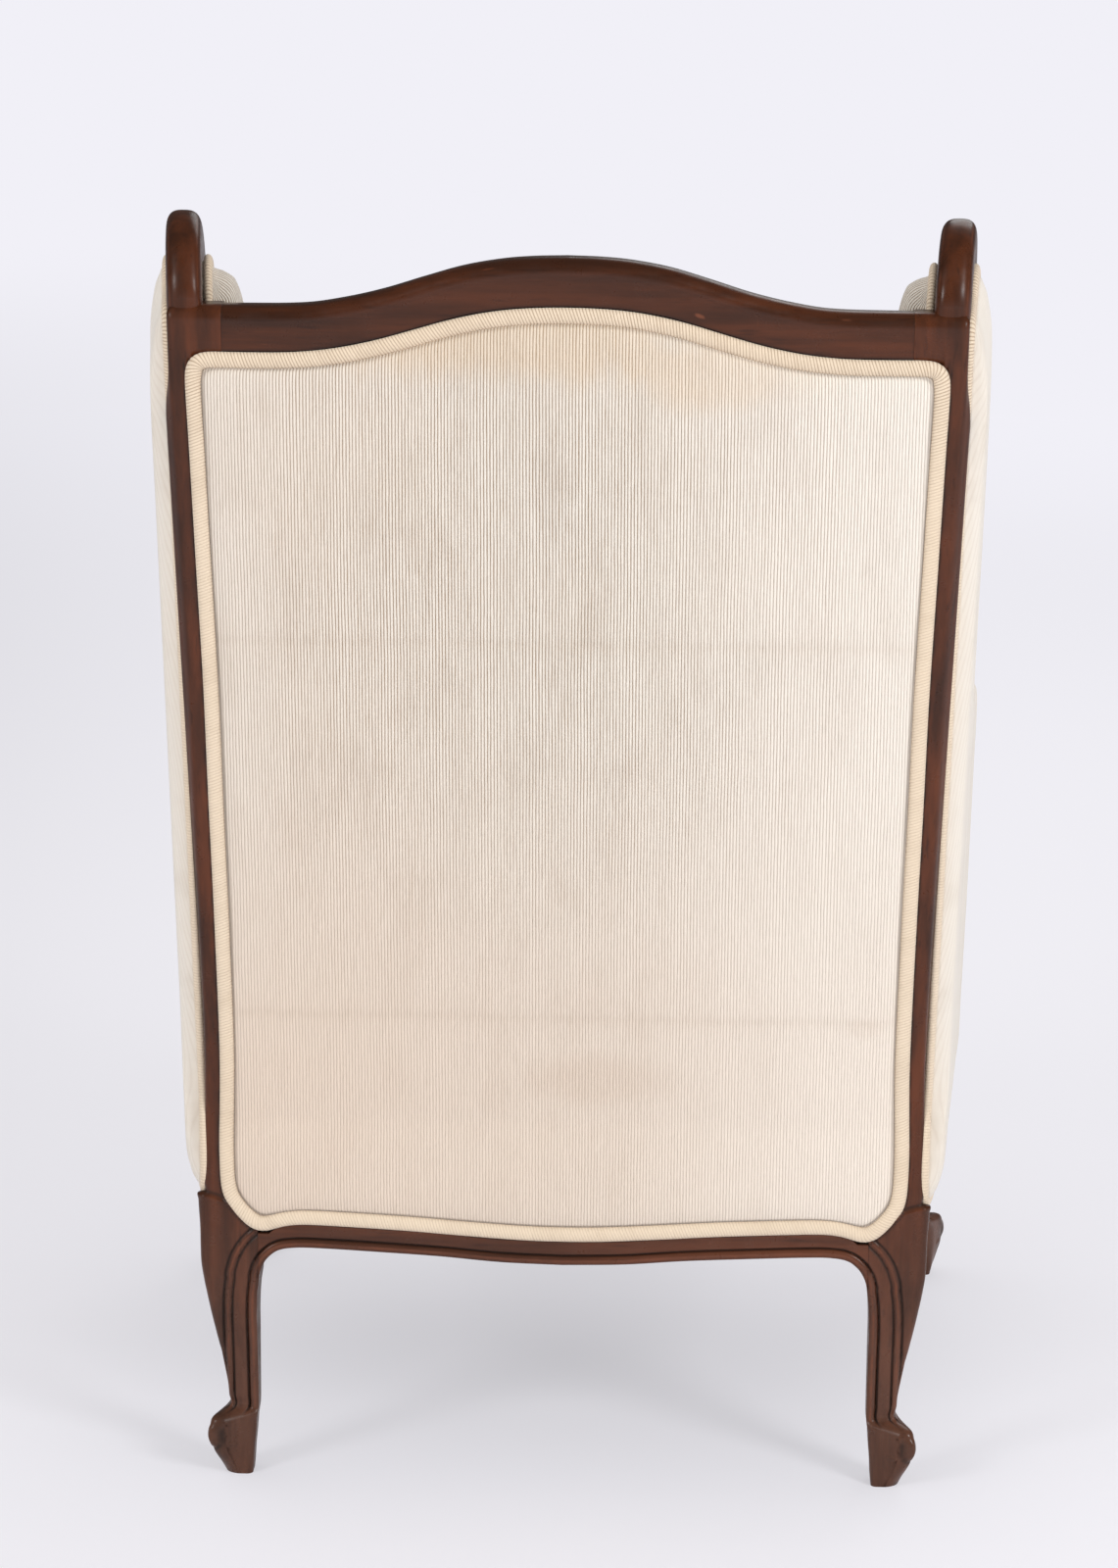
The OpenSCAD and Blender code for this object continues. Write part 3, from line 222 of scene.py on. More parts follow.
def curved(points, count, passes=0):
    """Closed centripetal Catmull-Rom curve through the points, evenly sampled and rounded."""
    p = np.asarray(points, float)
    a, b, c, d = np.roll(p, 1, 0), p, np.roll(p, -1, 0), np.roll(p, -2, 0)
    t1 = np.sqrt(np.linalg.norm(b - a, axis=1)) + 1e-6
    t2 = t1 + np.sqrt(np.linalg.norm(c - b, axis=1)) + 1e-6
    t3 = t2 + np.sqrt(np.linalg.norm(d - c, axis=1)) + 1e-6
    u = np.linspace(0, 1, 12, endpoint=False)[None, :, None]
    t1, t2, t3 = (x[:, None, None] for x in (t1, t2, t3))
    a, b, c, d = (x[:, None, :] for x in (a, b, c, d))
    t = t1 + (t2 - t1) * u
    a1 = (t1 - t) / t1 * a + t / t1 * b
    a2 = ((t2 - t) * b + (t - t1) * c) / (t2 - t1)
    a3 = ((t3 - t) * c + (t - t2) * d) / (t3 - t2)
    b1 = (t2 - t) / t2 * a1 + t / t2 * a2
    b2 = ((t3 - t) * a2 + (t - t1) * a3) / (t3 - t1)
    line = ((t2 - t) * b1 + (t - t1) * b2) / (t2 - t1)
    return rounded(even(line.reshape(-1, 2), count), passes)


def distance(points, line):
    """Shortest distance from each point to a line that is given by close points."""
    flat_points = np.asarray(points, float).reshape(-1, 2)
    found = [np.sqrt(((part[:, None] - line[None]) ** 2).sum(-1).min(1))
             for part in np.array_split(flat_points, max(1, len(flat_points) // 3000))]
    return np.concatenate(found).reshape(np.shape(points)[:-1])


def inside(points, loop):
    """True where a point lies within a closed outline, by counting the edges that a ray crosses."""
    x, z = points[..., 0][..., None], points[..., 1][..., None]
    (x0, z0), (x1, z1) = loop.T, np.roll(loop, -1, 0).T
    cut = (z0 > z) != (z1 > z)
    at = x0 + (z - z0) / np.where(z1 == z0, 1e-9, z1 - z0) * (x1 - x0)
    return (cut & (x < at)).sum(-1) % 2 == 1


def inset(loop, depth, count, passes=0):
    """A closed anticlockwise outline moved inwards: what crosses itself at the corners is left out."""
    v = np.roll(loop, -1, 0) - np.roll(loop, 1, 0)
    moved = loop + np.stack([-v[:, 1], v[:, 0]], -1) / np.linalg.norm(v, axis=1, keepdims=True) * depth
    return rounded(even(moved[distance(moved, loop) > depth * 0.97], count), passes)


def lean(z):
    """How far the back has leant away at height z: the height above the seat frame times the rake."""
    return np.maximum(0, z - P.rake_h) * RAKE


def place(x, y, z):
    """Points from three arrays, spread to one shape."""
    return np.stack(np.broadcast_arrays(x, y, z), -1).astype(float)


def on_back(x, z, out):
    """A place on the leaning plane of the back, out behind it."""
    return place(x, P.back_y + lean(z) + out, z)


def side_x(a, z):
    """X of the left side's plane, a forward of the back: it widens forwards and upwards."""
    return P.half_back - P.side_inset + a * SPLAY + np.maximum(0, z - P.rake_h) * FLARE


def at_side(a, z, out):
    """A place on the left side's plane, out beside it."""
    return place(side_x(a, z) + out, P.back_y - a, z)


def inner_side(a, z, out):
    """A place on the side frame's inner face, out into the chair."""
    return at_side(a, z, -P.side_t - P.soft_gap - out)


def outer_side(a, z, out):
    """A place on the side frame's outer face, out beside the chair."""
    return at_side(a, z, P.soft_gap + out)


def behind(x, z, out):
    """A place in the rebate behind the back frame, out to the rear."""
    return on_back(x, z, out + P.soft_gap - P.rebate)


def before(x, z, out):
    """A place on the lining of the back, out to the front."""
    return on_back(x, z, -P.back_base - out)


def level(x, a, out):
    """A place a forward of the back, at height out."""
    return place(x, P.back_y - a, out)


def bow(x):
    """Rise of the crest at x, read from its table."""
    return P.crest_bow * eased(BOW_SHARES, np.abs(x) / P.crest_half)


def crest_low(x):
    """Bottom edge of the crest rail's back face."""
    return P.shoulder_h - P.crest_face + 0.95 * bow(x)


def crest_high(x):
    """Top edge of the crest rail."""
    return P.shoulder_h + bow(x)


def wave(x, half):
    """Serpentine bottom edge of a seat rail of the given half length, read from its table."""
    return P.rail_bottom + P.rail_wave * eased(WAVE_SHARES, np.abs(x) / half)


def band_top(x, half):
    """Top of the rear rail's wood band: at its ends it leaves the wave and follows the welt."""
    low = wave(x, half)
    return P.rail_band + np.where(np.abs(x) > half * 0.9, np.maximum(low, P.rail_bottom + P.rail_wave / 4),
                                  low)


def post_share(z):
    """Widening of a rear post at height z, as a share of its width."""
    return eased(POST_SHARES, (z - P.leg_h) / (P.shoulder_h - P.leg_h))


def front_leg_x():
    """X of the left front leg's outer corner."""
    return float(side_x(P.seat_depth, P.rail_top)) + P.side_inset


def bow_at(x):
    """How far the front rail bows forward at x: its bow times (1 - (x / half length)^2)^1.5."""
    return P.front_bow * np.maximum(0, 1 - (np.asarray(x) / (front_leg_x() - P.leg_w)) ** 2) ** 1.5


WING_ROUTE = np.array([[P.post_d / 2 - lean(P.shoulder_h), P.shoulder_h, -P.side_t / 2]] + [
    [s[0] * P.seat_depth, between(P.arm_h, P.shoulder_h + P.wing_rise - P.wing_rail_d / 2, s[1]),
     -P.side_t / 2]
    for s in WING_SHARES])
ARM_ROUTE = np.array([[P.post_d - lean(P.arm_h), P.arm_h, -P.side_t / 2]] + [
    [s[0] * P.seat_depth, P.arm_h + s[1] * P.arm_rail_h, P.side_t * (s[2] - 0.5)] for s in ARM_SHARES])
SUPPORT_ROUTE = np.array([
    [s[0] * P.seat_depth, between(P.rail_top, P.support_top, s[1]), P.side_t * (s[2] - 0.5)]
    for s in SUPPORT_SHARES])
WING_COVER = P.wing_rail_d / 2 - P.wing_lap
ARM_COVER = P.arm_rail_h / 2 + 2 * P.soft_gap
SUPPORT_COVER = P.support_d / 2 + 2 * P.soft_gap


def offset_route(route, ts, d):
    """Points beside a route at the given places, to its left where d is positive."""
    ts = np.asarray(ts, float)
    v = heading(route, ts)
    return along(route, ts)[:, :2] + np.stack([-v[:, 1], v[:, 0]], -1) * d


def whole(half):
    """A half outline and its mirror image, as one closed outline."""
    half = np.asarray(half, float)
    return np.concatenate([half, half[::-1] * [-1, 1]])


def back_loop():
    """Outline of the outside back along the wood, anticlockwise from the middle of the bottom."""
    low, x_low = P.rail_bottom + P.rail_band, P.half_back - P.leg_w
    side = lambda z: [P.half_back + P.post_w * float(post_share(z)) - P.post_band, z]
    x_top = side(P.shoulder_h)[0] - P.bead_d * 1.6
    c, r = side(P.shoulder_h - P.crest_face), 2 * P.bead_d
    half = [[x_low * s, float(wave(x_low * s, x_low)) + P.rail_band]
            for s in (0.1, 0.3, 0.5, 0.7, 0.8, 0.87, 0.93)]
    half += [[x_low + s[0] * P.leg_w, low + s[1] * P.leg_w] for s in CORNER_SHARES]
    half += [side(between(P.leg_h, P.shoulder_h, s))
             for s in (0.035, 0.16, 0.32, 0.46, 0.59, 0.72, 0.85, 0.925)]
    half += [[c[0] - r * k**2, c[1] - r * (1 - k) ** 2] for k in (0.25, 0.5, 0.75)]
    half += [[x_top * s, float(crest_low(x_top * s))]
             for s in (1, 0.87, 0.75, 0.64, 0.53, 0.42, 0.32, 0.22, 0.13, 0.05)]
    return whole(half)


def wing_loop(edge):
    """Outline of a wing pad, at a distance edge from the cover line of the wing rail."""
    low, high = P.arm_h + ARM_COVER + P.groove_d + edge * 0.3, P.shoulder_h
    a = P.back_base + P.pad_edge_t * 0.8 + edge * 0.1
    steps = np.arange(9, 0, -1) / 11
    return np.concatenate([
        [[between(a - lean(low), WING_ROUTE[10][0] - WING_COVER - edge, s), low] for s in (0, 0.35, 0.7)],
        offset_route(WING_ROUTE, steps, -WING_COVER - edge),
        [[a - lean(high - P.welt_w), high - P.welt_w]],
        [[a - lean(between(low, high, s)), between(low, high, s)] for s in (0.75, 0.5, 0.25)]])


def arm_loop():
    """Outline of an inside arm pad, between deck, arm support, arm rail and back."""
    low, a = P.deck_top + 2 * P.soft_gap, P.back_base + 2 * P.soft_gap
    high = P.arm_h - ARM_COVER - P.groove_d
    return np.concatenate([
        [[between(a, SUPPORT_ROUTE[0][0] - SUPPORT_COVER, s), low] for s in (0, 0.3, 0.6, 0.9)],
        offset_route(SUPPORT_ROUTE, [0.12, 0.22, 0.33, 0.5, 0.66, 0.8], SUPPORT_COVER),
        offset_route(ARM_ROUTE, [0.42, 0.32, 0.21, 0.1], -ARM_COVER),
        [[a - lean(between(low, high, s)), between(low, high, s)] for s in (1, 0.66, 0.33)]])


def side_loop():
    """Outline of an outside cover, under the arm and wing rails and along the rear post."""
    low, high, a = P.panel_h + P.groove_d, P.shoulder_h, P.side_band - SIDE_COVER_LAP
    foot = SUPPORT_ROUTE[0][0]
    return np.concatenate([
        [[between(a, foot - SUPPORT_COVER * 1.4, s), low] for s in (0, 0.25, 0.5, 0.75, 1)],
        [[foot - SUPPORT_COVER, between(low, P.rail_top, 0.5)]],
        offset_route(SUPPORT_ROUTE, [0.01, 0.17, 0.33, 0.5, 0.66, 0.82], SUPPORT_COVER),
        offset_route(ARM_ROUTE, [0.44, 0.33, 0.24], -ARM_COVER),
        offset_route(WING_ROUTE, [10 / 11] + [k / 11 for k in range(9, 0, -1)], -WING_COVER),
        [[a - lean(between(low, high, s)), between(low, high, s)]
         for s in (0.99, 0.88, 0.75, 0.6, 0.45, 0.3, 0.15)]])


def pad_loop():
    """Outline of the inside back pad."""
    w, w0 = P.crest_half - P.pad_edge_t / 3, P.crest_half - P.pad_edge_t * 1.5
    low, high, r = P.deck_top + 2 * P.soft_gap, P.shoulder_h - P.crest_face, P.side_pad_t
    half = [[w0 * s, low] for s in (0.1, 0.35, 0.6, 0.8)]
    half += [[w0 - r * (1 - k) ** 2, low + r * k**2] for k in (0, 0.5, 1)]
    half += [[between(w0, w, min(1, 2 * s)), between(low, high, s)] for s in (0.2, 0.4, 0.6, 0.8, 0.9)]
    half += [[w - r * k**2, high - P.welt_w - r * (1 - k) ** 2] for k in (0, 0.5, 1)]
    half += [[w * s, float(crest_low(w * s)) - P.welt_w] for s in (0.8, 0.65, 0.5, 0.35, 0.2, 0.07)]
    return whole(half)


def deck_loop(g):
    """Plan of the seat deck, as places across and forward."""
    a0, a1 = P.post_d + g, P.seat_depth - P.leg_w / 4
    x1 = float(side_x(a1, P.rail_top)) - P.side_t
    half = [[float(side_x(a0, P.rail_top)) * s, a0] for s in (0.15, 0.5, 0.85)]
    half += [[float(side_x(a, P.rail_top)) - P.side_t - g, a] for a in (a0, between(a0, a1, 0.5), a1)]
    half += [[x1 * s, a1 + float(bow_at(x1 * s)) - g] for s in (0.8, 0.6, 0.4, 0.2, 0.07)]
    return whole(half)


def cushion_loop():
    """Plan of the seat cushion, across and forward: it widens in front of the arm supports."""
    d, r = P.cushion_welt_d, P.leg_w / 2
    a0 = P.back_base + P.back_pad_t - float(lean(P.deck_top + P.cushion_side_h / 2)) + d
    a1, a2 = SUPPORT_ROUTE[0][0] + P.support_d * 0.55 + d, P.seat_depth - d
    g = P.side_t + P.side_pad_t + d / 2
    x0, x1 = float(side_x(a0, P.rail_top)) - g, float(side_x(a1, P.rail_top)) - g
    x2 = float(side_x(a2, P.rail_top)) - P.side_t
    corners = np.array([[0, a0], [x0, a0], [x1, a1 - r / 2], [x1 + r / 3, a1], [x2, a1], [x2, a2], [0, a2]])
    half = [[x0 * s, a0] for s in (0.2, 0.5, 0.8)]
    for i, reach in enumerate((r, r / 3, r / 3, r * 0.5, r * 1.2), 1):
        c = corners[i]
        back, on = ((q - c) / np.linalg.norm(q - c) for q in (corners[i - 1], corners[i + 1]))
        half += [c + back * reach * (1 - s) ** 2 + on * reach * s**2 for s in (0, 0.33, 0.67, 1)]
    half += [[x2 * s, a2 + float(bow_at(x2 * s)) * 0.8] for s in (0.8, 0.6, 0.4, 0.2, 0.07)]
    return whole(half)


# Meshes

SWELL_FRAMES = 20


def mesh_piece(name, points, faces, uv, marks, sharp):
    """A mesh object from arrays in millimetres. Its faces are turned outwards by the sign of its volume."""
    p = points * MM
    volume = sum(np.einsum("ij,ij->", p[f[:, 0]], np.cross(p[f[:, k]], p[f[:, k + 1]]))
                 for f in faces for k in range(1, f.shape[1] - 1))
    if volume < 0:
        faces = [f[:, ::-1] for f in faces]
        uv = None if uv is None else [t[:, ::-1] for t in uv]
    mesh = bpy.data.meshes.new(name)
    mesh.from_pydata(p.tolist(), [], [row for f in faces for row in f.tolist()])
    if uv is not None:
        layer = mesh.uv_layers.new(name="UVMap")
        flat_uv = np.concatenate([t.reshape(-1, 2) for t in uv]) * MM
        layer.data.foreach_set("uv", flat_uv.ravel().astype(np.float32))
    for key, values in marks.items():
        attribute = mesh.attributes.new(key, "FLOAT", "POINT")
        attribute.data.foreach_set("value", np.asarray(values, np.float32).ravel())
    mesh.polygons.foreach_set("use_smooth", np.ones(len(mesh.polygons), bool))
    if sharp:
        mesh.set_sharp_from_angle(angle=math.radians(sharp))
    mesh.validate()
    obj = bpy.data.objects.new(name, mesh)
    bpy.context.scene.collection.objects.link(obj)
    return obj


def skin(name, rings, uv=None, looped=False, hubs=None, marks=None, sharp=None, side=1):
    """A closed surface over rings of points: rows join in order, and a fan closes each end, or the last row
    joins the first. uv holds one more column than the rings, and one more row where they are looped."""
    m, n = rings.shape[:2]
    rings = rings * [side, 1, 1]
    rows = m if looped else m - 1
    j, i = (g.ravel() for g in np.meshgrid(np.arange(rows), np.arange(n), indexing="ij"))
    a, b, q = j * n, (j + 1) % m * n, (i + 1) % n
    faces = [np.stack([a + i, a + q, b + q, b + i], -1)]
    points = rings.reshape(-1, 3)
    tex = None if uv is None else [np.stack([uv[j, i], uv[j, i + 1], uv[j + 1, i + 1], uv[j + 1, i]], 1)]
    marks = {k: np.asarray(v, float).reshape(-1) for k, v in (marks or {}).items()}
    if not looped:
        k = np.arange(n)
        k1 = (k + 1) % n
        ends = (rings[0].mean(0), rings[-1].mean(0)) if hubs is None else np.asarray(hubs) * [side, 1, 1]
        points = np.vstack([points, ends])
        full = np.full(n, m * n)
        faces.append(np.stack([full, k1, k], -1))
        faces.append(np.stack([full + 1, (m - 1) * n + k, (m - 1) * n + k1], -1))
        if uv is not None:
            c0, c1 = uv[0, :-1].mean(0), uv[-1, :-1].mean(0)
            tex.append(np.stack([np.broadcast_to(c0, (n, 2)), uv[0, 1:], uv[0, :-1]], 1))
            tex.append(np.stack([np.broadcast_to(c1, (n, 2)), uv[-1, :-1], uv[-1, 1:]], 1))
        marks = {k2: np.concatenate([v, [v[:n].mean(), v[-n:].mean()]]) for k2, v in marks.items()}
    return mesh_piece(name, points, faces, tex, marks, sharp)


def twin(obj, name):
    """The mirror image of a finished piece, with its faces turned outwards again."""
    mesh = obj.data.copy()
    mesh.name = name
    mesh.transform(Matrix.Scale(-1, 4, Vector((1, 0, 0))))
    mesh.flip_normals()
    other = bpy.data.objects.new(name, mesh)
    bpy.context.scene.collection.objects.link(other)
    return other


def evaluated(obj):
    """The object's mesh with its modifiers worked in."""
    graph = bpy.context.evaluated_depsgraph_get()
    return bpy.data.meshes.new_from_object(obj.evaluated_get(graph))


def settle(obj):
    """Applies every modifier of the object."""
    mesh = evaluated(obj)
    obj.modifiers.clear()
    obj.data = mesh
    mesh.name = obj.name


def coordinates(mesh):
    """The mesh's points, in metres."""
    co = np.empty(len(mesh.vertices) * 3)
    mesh.vertices.foreach_get("co", co)
    return co.reshape(-1, 3)


def puff(obj, hold, cap, spare, voxel=0.006, pressure=4.0):
    """Swells a closed form as a cushion: voxel remesh, then cloth under pressure through the frames with the
    points of hold kept still, then each point's move capped in millimetres, and one subdivision."""
    remesh = obj.modifiers.new("even", "REMESH")
    remesh.mode, remesh.voxel_size = "VOXEL", voxel
    settle(obj)
    start = coordinates(obj.data)
    weights = np.clip(hold(start / MM), 0, 1)
    group = obj.vertex_groups.new(name="held")
    for w in np.unique(np.round(weights, 1)):
        if w > 0:
            group.add(np.nonzero(np.round(weights, 1) == w)[0].tolist(), float(w), "REPLACE")
    cloth = obj.modifiers.new("swell", "CLOTH")
    cloth.settings.quality = 4
    cloth.settings.vertex_group_mass = "held"
    cloth.settings.use_pressure = True
    cloth.settings.uniform_pressure_force = pressure
    cloth.settings.shrink_min = -spare
    cloth.settings.effector_weights.gravity = 0
    cloth.point_cache.frame_start, cloth.point_cache.frame_end = 1, SWELL_FRAMES
    scene = bpy.context.scene
    for k in range(1, SWELL_FRAMES + 1):
        scene.frame_set(k)
    done = evaluated(obj)
    move = coordinates(done) - start
    size = np.linalg.norm(move, axis=1, keepdims=True)
    scene.frame_set(1)
    obj.modifiers.clear()
    obj.vertex_groups.clear()
    limit = cap * MM
    move *= limit * np.tanh(size / limit) / np.maximum(size, 1e-9)
    obj.data.vertices.foreach_set("co", (start + move).ravel())
    obj.data.update()
    finer = obj.modifiers.new("finer", "SUBSURF")
    finer.levels = finer.render_levels = 1
    settle(obj)
    obj.data.polygons.foreach_set("use_smooth", np.ones(len(obj.data.polygons), bool))


def unwrap(obj, rule):
    """Gives the piece its UV map: rule takes corner points and face normals, and gives places in millimetres
    across the ribs and along them."""
    mesh = obj.data
    corners = np.empty(len(mesh.loops), int)
    mesh.loops.foreach_get("vertex_index", corners)
    normals = np.empty(len(mesh.polygons) * 3)
    mesh.polygons.foreach_get("normal", normals)
    totals = np.empty(len(mesh.polygons), int)
    mesh.polygons.foreach_get("loop_total", totals)
    face_normals = np.repeat(normals.reshape(-1, 3), totals, axis=0)
    layer = mesh.uv_layers.get("UVMap") or mesh.uv_layers.new(name="UVMap")
    layer.data.foreach_set("uv", (rule(coordinates(mesh)[corners] / MM, face_normals) * MM).ravel())


RAIL_SIDES, RAIL_ROUNDING = 56, 2 / 3.0


def sweep(name, route, wide, high, steps, start, side=1, end=1.0):
    """A rail along a route in a side frame, with a section between an ellipse and a rectangle: the half sizes
    times the signed 2/3 powers of cosine and sine. start moves the first section onto the piece it meets."""
    t = np.linspace(0, end, steps + 1)[:, None]
    angle = 2 * np.pi * (np.arange(RAIL_SIDES) + 0.5) / RAIL_SIDES
    c, s = np.cos(angle), np.sin(angle)
    w = np.broadcast_to(wide(t), t.shape) / 2 * np.sign(c) * np.abs(c) ** RAIL_ROUNDING
    h = np.broadcast_to(high(t), t.shape) / 2 * np.sign(s) * np.abs(s) ** RAIL_ROUNDING
    p, v = along(route, t[:, 0])[:, None], heading(route, t[:, 0])[:, None]
    a, z, out = p[..., 0] - v[..., 1] * h, p[..., 1] + v[..., 0] * h, p[..., 2] + w
    a[0], z[0] = start(a[0], z[0])
    rubbed_and_highlit = np.broadcast_to(np.minimum(np.abs(c), np.abs(s)) * 1.4, a.shape)
    marks = {"rubbed_and_highlit": smooth(0.7, 1.0, rubbed_and_highlit) * 0.6, "grime_and_shade": np.zeros(a.shape)}
    return skin(name, at_side(a, z, out), marks=marks, sharp=50, side=side)


WELT_SIDES = 16


def cord(name, line, wide, thick, at, looped=True, side=1, lift=0.0, slant=0.35):
    """A welt: an ellipse of wide by thick carried along a line in a plane and laid on it, lifted off it by
    lift. u counts ribs along the cord, a whole number on a closed one, and slants across it, and v goes
    round it."""
    v = (np.roll(line, -1, 0) - np.roll(line, 1, 0)) if looped else np.gradient(line, axis=0)
    v = v / np.linalg.norm(v, axis=1, keepdims=True)
    angle = 2 * np.pi * (np.arange(WELT_SIDES) + 0.5) / WELT_SIDES
    across, rise = np.cos(angle) * wide / 2, np.sin(angle) * thick / 2
    q = line[:, None] + np.stack([v[:, 1], -v[:, 0]], -1)[:, None] * across[None, :, None]
    rings = at(q[..., 0], q[..., 1], np.broadcast_to(rise + thick / 2 + lift, q.shape[:2]))
    closed = np.vstack([line, line[:1]]) if looped else line
    length = np.concatenate([[0], np.cumsum(np.linalg.norm(np.diff(closed, axis=0), axis=1))])
    if looped:
        length *= max(1, round(length[-1] / RIB_PITCH)) * RIB_PITCH / length[-1]
    girth = np.linspace(0, math.pi * (wide + thick) / 2, WELT_SIDES + 1)
    swing = slant * np.append(across, across[0])
    uv = np.stack(np.broadcast_arrays(length[:, None] + swing[None], girth[None]), -1)
    return skin(name, rings, uv, looped=looped, side=side)


def dome(name, loop, hub, profile, at, rows, side=1, root=None, seam=None):
    """A soft face: the outline shrinks towards a hub by the scales of rows, and rises by the profile of them.
    root, where given, is an outline and a depth at which the form reaches back into the frame. seam gives the
    strength of the painted shade in the stitched line near the rim, by its places."""
    scales = np.asarray(rows, float)
    q = hub + (loop[None] - hub) * scales[:, None, None]
    rise = eased(profile[::-1], scales)
    floor = np.zeros((1, len(loop)))
    grid = np.concatenate([loop[None], q])
    heights = np.concatenate([floor, np.broadcast_to(rise[:, None], q.shape[:2])])
    if root is not None:
        grid = np.concatenate([root[0][None], root[0][None], grid])
        heights = np.concatenate([floor - root[1], floor, heights])
    rings = at(grid[..., 0], grid[..., 1], heights)
    step = np.sqrt((np.diff(grid, axis=0) ** 2).sum(-1) + np.diff(heights, axis=0) ** 2)
    far = np.linalg.norm(grid - hub, axis=-1)
    laid = np.concatenate([np.cumsum(step[::-1], 0)[::-1], 0 * far[-1:]]) + far[-1]
    uv = hub + (grid - hub) * (laid / np.maximum(far, 1e-6))[..., None]
    uv = np.concatenate([uv, uv[:, :1]], 1)
    last = grid[-1].mean(0)
    hubs = np.stack([at(hub[0], hub[1], heights[0, 0]), at(last[0], last[1], heights[-1, 0])])
    marks = None
    if seam is not None:
        line = np.exp(-(((distance(grid, loop) - STITCH_IN) / STITCH_WIDE) ** 2))
        marks = {"seam": line * seam(grid)}
    return skin(name, rings, uv, hubs=hubs, marks=marks, side=side)


def crowned(first, count, curve=2.0):
    """Scales from 1 towards 0, close together near the rim."""
    return 1 - (1 - first) * np.linspace(0, 1, count) ** curve


# Carving of the wood

def bead(d, start, end, depth):
    """A half round between two distances: its edges lie deeper than its crown."""
    s = np.clip((2 * d - start - end) / (end - start), -1, 1)
    return np.where((d > start) & (d < end), -depth * (1 - np.sqrt(1 - s * s)), 0)


def groove(d, centre, width, depth):
    """A rounded groove: a bell curve of the distance from its centre."""
    return -depth * np.exp(-(((d - centre) / width) ** 2))


# Distances of the three grooves from the moulded edge
INNER_GROOVE, OUTER_GROOVE, PANEL_GROOVE = 8.3, 20.2, 27.8


def moulding(d, reach=1.0):
    """Relief by distance from the moulded edge: bead, groove, flat band, groove, bead, groove, panel."""
    inner = bead(d, -0.5, 7.6, 2.8) + groove(d, INNER_GROOVE, 0.8, 1.7)
    outer = (groove(d, OUTER_GROOVE, 0.8, 1.4) + bead(d, OUTER_GROOVE + 0.7, PANEL_GROOVE - 0.7, 1.5)
             + groove(d, PANEL_GROOVE, 0.8, 1.4))
    return inner + outer * reach


def moulded_marks(d, reach=1.0):
    """Rubbing on the beads' crowns, and grime with painted shade in the grooves, by the same distance."""
    grooves = ((INNER_GROOVE, 1), (OUTER_GROOVE, reach), (PANEL_GROOVE, reach))
    grime_and_shade = sum(np.exp(-(((d - c) / 1.1) ** 2)) * k for c, k in grooves)
    rubbed_and_highlit = np.exp(-(((d - 3.4) / 2.2) ** 2)) * 0.6 + np.exp(-(((d - 24) / 1.8) ** 2)) * 0.6 * reach
    return rubbed_and_highlit, np.clip(grime_and_shade, 0, 1)


def contour(table, height, half, lift):
    """The moulded edge, by distance in from the leg's outer corner and height: along the rail's bottom edge,
    round into the leg and down its inner edge."""
    x = half * np.sin(np.linspace(0, np.pi / 2, 620))
    rail = np.stack([P.leg_w + half - x, wave(x, half) + lift], -1)
    z = np.linspace(float(wave(half, half)) + lift - 0.3, -8, 340)
    leg = np.stack([P.leg_w * (1 - eased(table[:, [0, 2]], np.clip(z / height, 0, 1))), z], -1)
    return np.concatenate([rail, leg])


def ring_plan(counts=(18, 72, 72, 18), corner=7):
    """Places of a rounded rectangle's points, anticlockwise from the front inner corner: shares of the
    width and depth, and multiples of the corner radius, and the outward direction of each."""
    rows = []
    corners = [((1, -1), (0, 1), -90), ((1, -1), (1, -1), 0), ((0, 1), (1, -1), 90), ((0, 1), (0, 1), 180)]
    sides = [((0, 1), (0, 0)), ((1, 1), (0, 1)), ((1, 0), (1, 1)), ((0, 0), (1, 0))]
    for (xs, ys), count, (cx, cy, turn) in zip(sides, counts, corners):
        t = np.linspace(0, 1, count)
        a, b = between(xs[0], xs[1], t), between(ys[0], ys[1], t)
        flat_x, flat_y = xs[0] == xs[1], ys[0] == ys[1]
        nx = (2 * xs[0] - 1) if flat_x else 0
        ny = (2 * ys[0] - 1) if flat_y else 0
        rows.append(np.stack([a, 0 * t if flat_x else 1 - 2 * a, b, 0 * t if flat_y else 1 - 2 * b,
                              nx + 0 * t, ny + 0 * t], -1))
        w = np.radians(turn + np.linspace(0, 90, corner + 2)[1:-1])
        rows.append(np.stack([cx[0] + 0 * w, cx[1] + np.cos(w), cy[0] + 0 * w, cy[1] + np.sin(w),
                              np.cos(w), np.sin(w)], -1))
    return np.concatenate(rows)


def leg_rows(table, height, z):
    """Outer and inner faces of a leg and its toe, at heights z, from the block's outer corner."""
    s = np.clip(z / height, 0, 1)
    outer, inner, toe = (eased(table[:, [0, k]], s) for k in (1, 2, 3))
    return -P.leg_w * outer, -P.leg_w * (1 - inner), toe * P.leg_w


def lifted(plan):
    """Directions in which the carving moves a ring's points: straight out on the corners where a rail meets
    the leg, and along the surface's own direction elsewhere."""
    sx, _, sy, _, nx, ny = plan.T
    inner, front = (nx < 0) & (sy > 0.999), (ny < 0) & (sx > 0.999)
    return np.where(inner, 0, np.where(front, 1, nx)), np.where(inner, 1, np.where(front, 0, ny))


# The foot, by distance in from the leg's outer corner and height: the knob, the hollow round it and the boss
FOOT = SimpleNamespace(knob=(14, 38), knob_r=13.5, hollow_r=15.5, boss=(33, 29), boss_r=2.6, low=46, rim=53,
                       top=58)


